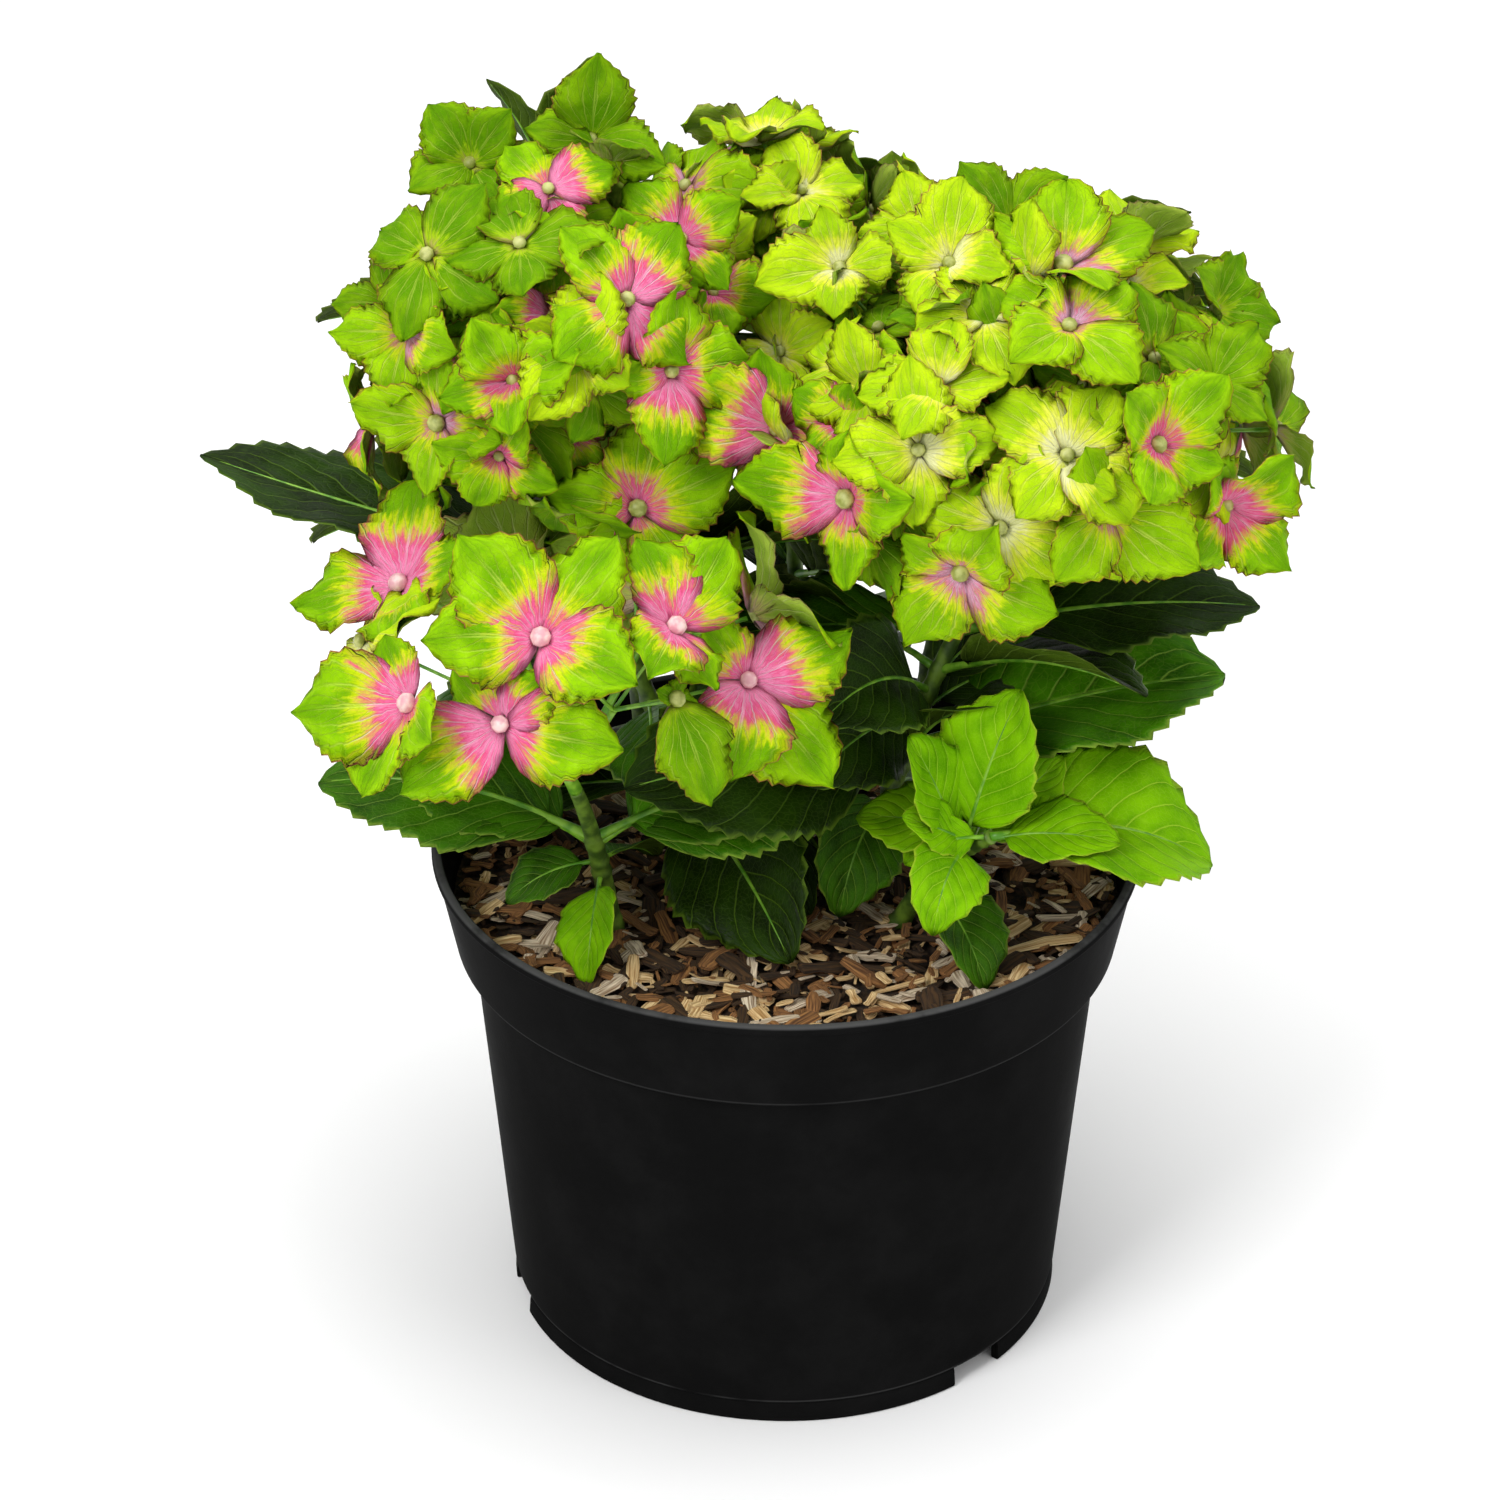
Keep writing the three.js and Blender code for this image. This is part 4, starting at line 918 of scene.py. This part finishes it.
def grow_head(name, seed):
    """A mophead: sepals, buds and stalks as three pieces. Florets set back in a dense dome, some deep and
    some just under the first, show between those. The deepest are coloured darker, as painted shade."""
    node = f"flower_head_{name}"
    head = FLOWER_HEADS[name]
    first = florets_of(name, seed)
    layers = [first]
    rng = np.random.default_rng(seed)
    middle = np.array(head["centre"], float)
    sepals = Piece()
    add_florets(sepals, name, first, SEPAL_ROWS, rng)
    # The deepest layer's colourings: lime and blushed turn to the darker green sepal, as painted shade deep
    # in the head; pink-hearted stays.
    painted_shade_tones, plain = np.array([0, 4, 4, 3, 4]), np.arange(5)
    under = [(0.74, 0.4, 0.95, 0.3, DEEPEST_LAYER, painted_shade_tones), (0.9, -0.45, 0.72, 0.4, SECOND_LAYER, plain)]
    for depth, turn, size, loose, mark, tones in under if head["florets"] else ():
        cos, sin = np.cos(turn), np.sin(turn)
        spun = (first["centre"] - middle) @ np.array([[cos, sin, 0], [-sin, cos, 0], [0, 0, 1]])
        kind = tones[rng.permutation(first["kind"])]
        facing = unit(unit(spun / radii_of(head)) + rng.normal(0, loose, spun.shape))
        layers.append(dict(first, centre=middle + depth * spun, radius=size * first["radius"], kind=kind,
                           facing=facing, place=first["place"] - mark, spin=first["spin"] + 1))
        add_florets(sepals, name, layers[-1], PLAIN_ROWS, rng)
    florets = {key: np.concatenate([layer[key] for layer in layers]) for key in layers[0]}
    n, kind = len(florets["radius"]), florets["kind"]
    sepals.mesh(f"sepals_{name}", SEPALS, "sepal", [node], mapped=True)

    place, round_ = bead_rings(4)
    size = 0.098 * florets["radius"]
    facing = florets["facing"][:, None]
    paths = florets["centre"][:, None] + facing * (size[:, None] * (0.9 + 0.85 * place))[..., None]
    pink = (kind == 3) & (name == "front_left")
    buds = Piece()
    add_tubes(buds, paths, size[:, None] * round_, 8, finish=np.where(pink, 1, 0))
    buds.mesh(f"buds_{name}", BEADS, "sepal", [node])

    stalks = Piece()
    t = np.linspace(0, 1, 7)[None, :, None]
    root, end = florets["root"][:, None], florets["centre"][:, None] - 0.3 * facing
    span = np.linalg.norm(end - root, axis=-1, keepdims=True)
    pull = root + 0.55 * (end - root) - facing * 0.06 * span
    add_tubes(stalks, (1 - t) ** 2 * root + 2 * t * (1 - t) * pull + t * t * end,
              np.broadcast_to(PEDICEL_RADIUS * (1.25 - 0.35 * np.sin(np.pi * t[..., 0])), (n, 7)), 6)
    knuckles = knuckles_of(head)
    hub = hub_of(head) - [0, 0, 1]
    add_tubes(stalks, hub + (knuckles[:, None] - hub) * np.linspace(0, 1, 6)[None, :, None],
              np.broadcast_to(np.linspace(RAY_RADIUS, 1.1, 6), (len(knuckles), 6)), 8)
    at = np.linspace(HEAD_STALK_FROM, 1, 6)
    add_tubes(stalks, cane_line(SHOOTS[name], at)[None], cane_radius(at)[None], 12)
    stalks.mesh(f"flower_stalks_{name}", [STALK], "sepal", [node])


def grow_shoot(name, seed):
    """A shoot's cane, petioles and leaves."""
    shoot = SHOOTS[name]
    node = f"foliage_{name}"
    leaves = leaves_of(name, seed, packed(node))
    rng = np.random.default_rng(seed)
    blades, stalks = Piece(), Piece()
    young = name == "low_right"
    for index, leaf in enumerate(leaves):
        leaf["breadth"] = LEAF_BREADTHS.get(name, {}).get(index, 1)
        points = leaf_points(leaf, seed * 100 + index)
        fresh = young or (leaf["length"] < SMALL_LEAF and leaf["root"][2] > HIGH_UP)
        kind = 3 if fresh else 2 if rng.random() < GREEN_SHARE else 1
        kind = LEAF_TONES.get(name, {}).get(index, kind)
        shade = int(rng.integers(0, 5))
        add_blades(blades, points[None], np.linspace(0, 1, len(points)), LEAF_COLUMNS,
                   [(shade, kind)], [(shade, 0)], LEAF_THICKNESS, [kind])
        place, _, _, up = leaf_spine(leaf, np.linspace(0, 0.94, 12))
        t = np.linspace(0, 1, 6)[:, None]
        neck = leaf["root"] + t[:-1] * (place[0] - leaf["root"])
        path = np.concatenate([neck, place - 0.25 * up])
        thick = PETIOLE_RADIUS * np.clip(leaf["length"] / 70, 0.6, 1.15)
        radius = thick * np.concatenate([np.linspace(1.25, 0.85, 5), np.linspace(0.85, 0.2, 12)])
        add_tubes(stalks, path[None], radius[None], 8, finish=1)
    ends = HEAD_STALK_FROM if "head" in shoot else 1.0
    at = np.linspace(0.0, ends, 60)
    swell = sum(0.22 * np.exp(-((at - pair[0]) / 0.012) ** 2) for pair in shoot["pairs"])
    add_tubes(stalks, cane_line(shoot, at)[None], (cane_radius(at) * (1 + swell))[None], 14, finish=0)
    slot = "young_leaf" if young else "leaf"
    blades.mesh(f"leaves_{name}", LEAVES, slot, [node], mapped=True)
    stalks.mesh(f"canes_and_petioles_{name}", [CANE_BARK, STALK], "green_cane", [f"cane_{name}", node])


# ---- The pot and what fills it ----
def revolve(piece, profile, sides, start=0.0, sweep=2 * np.pi):
    """A profile of (radius, height) carried round the Z axis. A whole turn closes on itself."""
    profile = np.asarray(profile, float)
    whole = sweep >= 2 * np.pi - 1e-9
    cols = sides if whole else sides + 1
    turn = start + sweep * np.arange(cols) / sides
    points = np.stack([profile[:, :1] * np.cos(turn), profile[:, :1] * np.sin(turn),
                       np.repeat(profile[:, 1:], cols, 1)], -1)
    faces = quads(len(profile), cols, wrap=whole)
    u = np.tile(np.arange(cols) / sides, len(profile))
    v = np.repeat(np.linspace(0, 1, len(profile)), cols)
    wrapped = np.where(whole & (faces % cols == 0) & np.isin(np.arange(4), (1, 2)), 1.0, u[faces])
    piece.add(points, faces, np.stack([wrapped, v[faces]], -1))
    return points


def rounded(corners, radius, steps=4):
    """A profile with each inner corner replaced by a short arc-like curve of that radius: points between a
    place before the corner and a place after it on a quadratic curve."""
    corners = np.asarray(corners, float)
    made = [corners[:1]]
    t = np.linspace(0, 1, steps)[:, None]
    for before, corner, after in zip(corners[:-2], corners[1:-1], corners[2:]):
        into, away = before - corner, after - corner
        r = min(radius, 0.45 * np.linalg.norm(into), 0.45 * np.linalg.norm(away))
        a, b = corner + r * into / np.linalg.norm(into), corner + r * away / np.linalg.norm(away)
        made.append((1 - t) ** 2 * a + 2 * t * (1 - t) * corner + t * t * b)
    made.append(corners[-1:])
    return np.concatenate(made)


def body_radius(height):
    """The pot body's outer radius, tapering from under the collar to the foot."""
    return BODY_FOOT_RADIUS + (BODY_TOP_RADIUS - BODY_FOOT_RADIUS) * (height - FOOT_RING_HEIGHT) / (
        POT_HEIGHT - COLLAR_HEIGHT - FOOT_RING_HEIGHT)


def make_container():
    """The pot: a wall turned as one profile with rounded corners, over a foot ring in three notched arcs
    and a boss."""
    pot = Piece()
    collar = POT_HEIGHT - COLLAR_HEIGHT
    step = FOOT_RING_HEIGHT
    inside = step + FLOOR_THICKNESS
    outer = [
        (DRAIN_CIRCLE + DRAIN_BAND, step), (BODY_FOOT_RADIUS - 3.2, step), (BODY_FOOT_RADIUS - 0.9, step),
        (BODY_FOOT_RADIUS - 0.1, step + 1.0), (body_radius(step + 3), step + 3),
        (body_radius(collar * 0.5), collar * 0.5),
        (BODY_TOP_RADIUS, collar - 2), (BODY_TOP_RADIUS + 0.6, collar - 0.6),
        (COLLAR_FOOT_RADIUS - 1.2, collar), (COLLAR_FOOT_RADIUS, collar + 1.5),
        (RIM_RADIUS - LIP_PROUD, POT_HEIGHT - LIP_HEIGHT - 0.6),
        (RIM_RADIUS, POT_HEIGHT - LIP_HEIGHT), (RIM_RADIUS, POT_HEIGHT - 0.7), (RIM_RADIUS - 0.8, POT_HEIGHT),
        (RIM_RADIUS - LIP_PROUD - POT_WALL, POT_HEIGHT), (COLLAR_FOOT_RADIUS - POT_WALL, collar + POT_WALL),
        (BODY_TOP_RADIUS - POT_WALL, collar), (body_radius(inside) - POT_WALL, inside),
        (DRAIN_CIRCLE + DRAIN_BAND, inside),
    ]
    revolve(pot, rounded(outer, 1.0), POT_SIDES)
    revolve(pot, [(DRAIN_CIRCLE - DRAIN_BAND, inside), (POLE, inside)], POT_SIDES)
    revolve(pot, [(POLE, step), (DRAIN_CIRCLE - DRAIN_BAND, step)], POT_SIDES)
    # Each drain hole stands in its own sixth of a band of the floor: from the hole out to the outline of
    # that sixth.
    arc = np.linspace(-np.pi / DRAIN_HOLES, np.pi / DRAIN_HOLES, POT_SIDES // DRAIN_HOLES + 1)
    out = np.linspace(-DRAIN_BAND, DRAIN_BAND, 5)
    outline = np.concatenate([
        np.stack([np.full(len(arc) - 1, DRAIN_BAND), arc[:-1]], -1),
        np.stack([out[:0:-1], np.full(4, arc[-1])], -1),
        np.stack([np.full(len(arc) - 1, -DRAIN_BAND), arc[:0:-1]], -1),
        np.stack([out[:-1], np.full(4, arc[0])], -1)])
    for hole in range(DRAIN_HOLES):
        bearing = np.radians(FIRST_DRAIN_BEARING + 360 / DRAIN_HOLES * hole)
        radius, angle = DRAIN_CIRCLE + outline[:, 0], bearing + outline[:, 1]
        rim = np.stack([radius * np.cos(angle), radius * np.sin(angle)], -1)
        middle = DRAIN_CIRCLE * np.array([np.cos(bearing), np.sin(bearing)])
        hole_edge = middle + DRAIN_RADIUS * unit(rim - middle)
        rings = [np.column_stack([line, np.full(len(line), z)]) for line, z in (
            (rim, step), (hole_edge, step), (hole_edge, inside), (rim, inside))]
        faces = quads(4, len(outline), wrap=True)[:, ::-1]
        pot.add(np.concatenate(rings), faces, np.zeros((len(faces), 4, 2)))
    spare = np.radians(FOOT_NOTCH_ANGLE)
    inner = BODY_FOOT_RADIUS - FOOT_RING_WALL
    ring = rounded([(inner, step + 0.5), (inner, 0.0), (BODY_FOOT_RADIUS - 0.5, 0.0), (BODY_FOOT_RADIUS, 0.6),
                    (BODY_FOOT_RADIUS - 0.4, step - 0.7), (BODY_FOOT_RADIUS - 0.9, step + 0.5)], 0.5)
    ring = np.concatenate([ring, ring[:1]])
    apart = 360 / FOOT_NOTCHES
    for notch in range(FOOT_NOTCHES):
        start = np.radians(FIRST_NOTCH_BEARING + apart * notch) + spare / 2
        points = revolve(pot, ring, 60, start, np.radians(apart) - spare)
        for column, flip in ((0, 1), (-1, -1)):
            face = points[:-1, column]
            order = np.arange(len(face))[::flip]
            pot.add(face, order[None], np.full((1, len(face), 2), 0.5))
    boss = rounded([(POLE, 0.0), (CENTRE_BOSS_RADIUS, 0.0), (CENTRE_BOSS_RADIUS + 1, step + 0.5),
                    (POLE, step + 0.5)], 0.5)
    revolve(pot, boss, 64)
    pot.mesh("container_shell", [POLYPROPYLENE], "pot_plastic", ["container"], welded=True)


def make_mulch():
    """Peat filling the pot, with a rough top, strewn with splinters of bark: a few large pieces, many
    middling ones and fine crumbs. Each splinter is a closed five-sided bar, with blunt, broken ends and
    uneven sides."""
    rng = np.random.default_rng(7)
    soil = Piece()
    rings, sides = 40, 128
    radius = np.linspace(0, 1, rings)
    edge = COLLAR_FOOT_RADIUS - POT_WALL + (RIM_RADIUS - LIP_PROUD - COLLAR_FOOT_RADIUS) * (
        MULCH_LEVEL - POT_HEIGHT + COLLAR_HEIGHT) / COLLAR_HEIGHT - 0.3
    turn = 2 * np.pi * np.arange(sides) / sides
    r = (edge * np.maximum(radius, POLE_SHARE))[:, None]
    x, y = r * np.cos(turn), r * np.sin(turn)
    lumps = (0.9 * np.sin(x / 7.3 + 1.1 * np.sin(y / 9.1)) * np.cos(y / 6.1 + np.sin(x / 11.0))
             + 0.5 * np.sin(x / 2.9 + 2.0 * np.cos(y / 3.7)))
    z = MULCH_LEVEL - 2.6 + MULCH_CROWN * (1 - (r / RIM_RADIUS) ** 2) + lumps * (1 - radius[:, None] ** 8)
    floor_level = FOOT_RING_HEIGHT + FLOOR_THICKNESS + 0.2
    under = [(BODY_TOP_RADIUS - POT_WALL - 0.5, POT_HEIGHT - COLLAR_HEIGHT),
             (body_radius(floor_level) - POT_WALL - 0.5, floor_level), (POLE, floor_level)]
    below = [np.stack([away * np.cos(turn), away * np.sin(turn), np.full(sides, level)], -1)
             for away, level in under]
    points = np.concatenate([np.stack([x, y, z], -1).reshape(-1, 3), *below])
    faces = quads(rings + len(under), sides, wrap=True)[:, ::-1]
    soil.add(points, faces, np.zeros((len(faces), 4, 2)))
    soil.mesh("peat", [PEAT], "bark_mulch", ["growing_medium"], welded=True)

    chips = Piece()
    count = (40, 1050, 1750)
    n = sum(count)
    band = np.repeat([0, 1, 2], count)
    length = np.array([21.0, 12.0, 5.0])[band] * rng.uniform(0.6, 1.4, n)
    width = length * rng.uniform(0.18, 0.45, n) * np.array([0.7, 1.15, 1.3])[band]
    away = np.minimum(np.sqrt(rng.random(n)) * edge, edge - 1.5 - length * 0.5)
    where = rng.uniform(0, 2 * np.pi, n)
    heading = rng.uniform(0, 2 * np.pi, n)
    pitch = rng.normal(0, 0.22, n)
    height = MULCH_LEVEL - 1.6 + MULCH_CROWN * (1 - (away / RIM_RADIUS) ** 2)
    height = height + rng.uniform(0, 3.2, n) + 0.05 * length
    centre = np.stack([away * np.cos(where), away * np.sin(where), height], -1)
    level = np.cos(pitch)
    direction = np.stack([np.cos(heading) * level, np.sin(heading) * level, np.sin(pitch)], -1)
    bend = rng.normal(0, 0.02, (n, 1, 3)) * length[:, None, None]
    s = np.array([-0.5, -0.44, -0.1, 0.25, 0.46, 0.5])
    path = (centre[:, None] + direction[:, None] * (length[:, None] * s)[..., None]
            + bend * (1 - (2 * s[None, :, None]) ** 2))
    taper = np.array([0.6, 0.9, 1.0, 0.95, 0.8, 0.5]) * rng.uniform(0.7, 1.25, (n, 6))
    kind = rng.choice(4, n, p=[0.2, 0.31, 0.36, 0.13])
    cells = np.stack([rng.integers(0, 5, n), kind], -1)
    add_tubes(chips, path, width[:, None] / 2 * taper, 5, cells=cells, finish=kind, flat=0.3)
    chips.mesh("bark_chips", BARK, "bark_mulch", ["growing_medium"], smooth_faces=False, mapped=True)


make_container()
make_mulch()
for index, (kind, name) in enumerate(MASSES):
    grow = grow_head if kind == "flower_head" else grow_shoot
    grow(name, FIRST_SEED + index)

# ---- Floor, light and camera ----
floor_mesh = bpy.data.meshes.new("floor")
floor_mesh.from_pydata([(-6, -6, 0), (6, -6, 0), (6, 6, 0), (-6, 6, 0)], [], [(0, 1, 2, 3)])
floor = bpy.data.objects.new("floor", floor_mesh)
bpy.context.scene.collection.objects.link(floor)
white, tree, skin = blank("white studio floor")
connect(tree, skin, {"Base Color": "#fbfbfb", "Roughness": 0.9, "Specular IOR Level": 0.0})
floor_mesh.materials.append(white)

world = bpy.data.worlds.new("studio")
bpy.context.scene.world = world
world.use_nodes = True
connect(world.node_tree, world.node_tree.nodes["Background"], {0: (1.0, 1.0, 1.0, 1.0), 1: 0.64})


def softbox(name, place, aim, size, power):
    """A square area light."""
    light = bpy.data.lights.new(name, "AREA")
    light.shape, light.size, light.energy = "SQUARE", size, power
    ob = bpy.data.objects.new(name, light)
    ob.location = place
    ob.rotation_euler = (Vector(aim) - Vector(place)).to_track_quat("-Z", "Y").to_euler()
    bpy.context.scene.collection.objects.link(ob)


softbox("key", (-1.1, -1.3, 1.7), (0, 0, 0.25), 0.8, 25)
softbox("fill", (1.6, -1.0, 0.9), (0, 0, 0.2), 1.0, 7)
softbox("top", (0.1, 0.3, 2.4), (0, 0.2, 0), 2.0, 32)

camera_data = bpy.data.cameras.new("camera")
camera_data.sensor_width = 36.0
camera_data.lens = 117.62
camera = bpy.data.objects.new("camera", camera_data)
camera.location = (-0.011685, -1.36467, 0.98542)
camera.rotation_euler = (np.radians(90 - 29.93), 0.0, 0.0)
bpy.context.scene.collection.objects.link(camera)
bpy.context.scene.camera = camera
bpy.context.scene.view_settings.view_transform = "Standard"
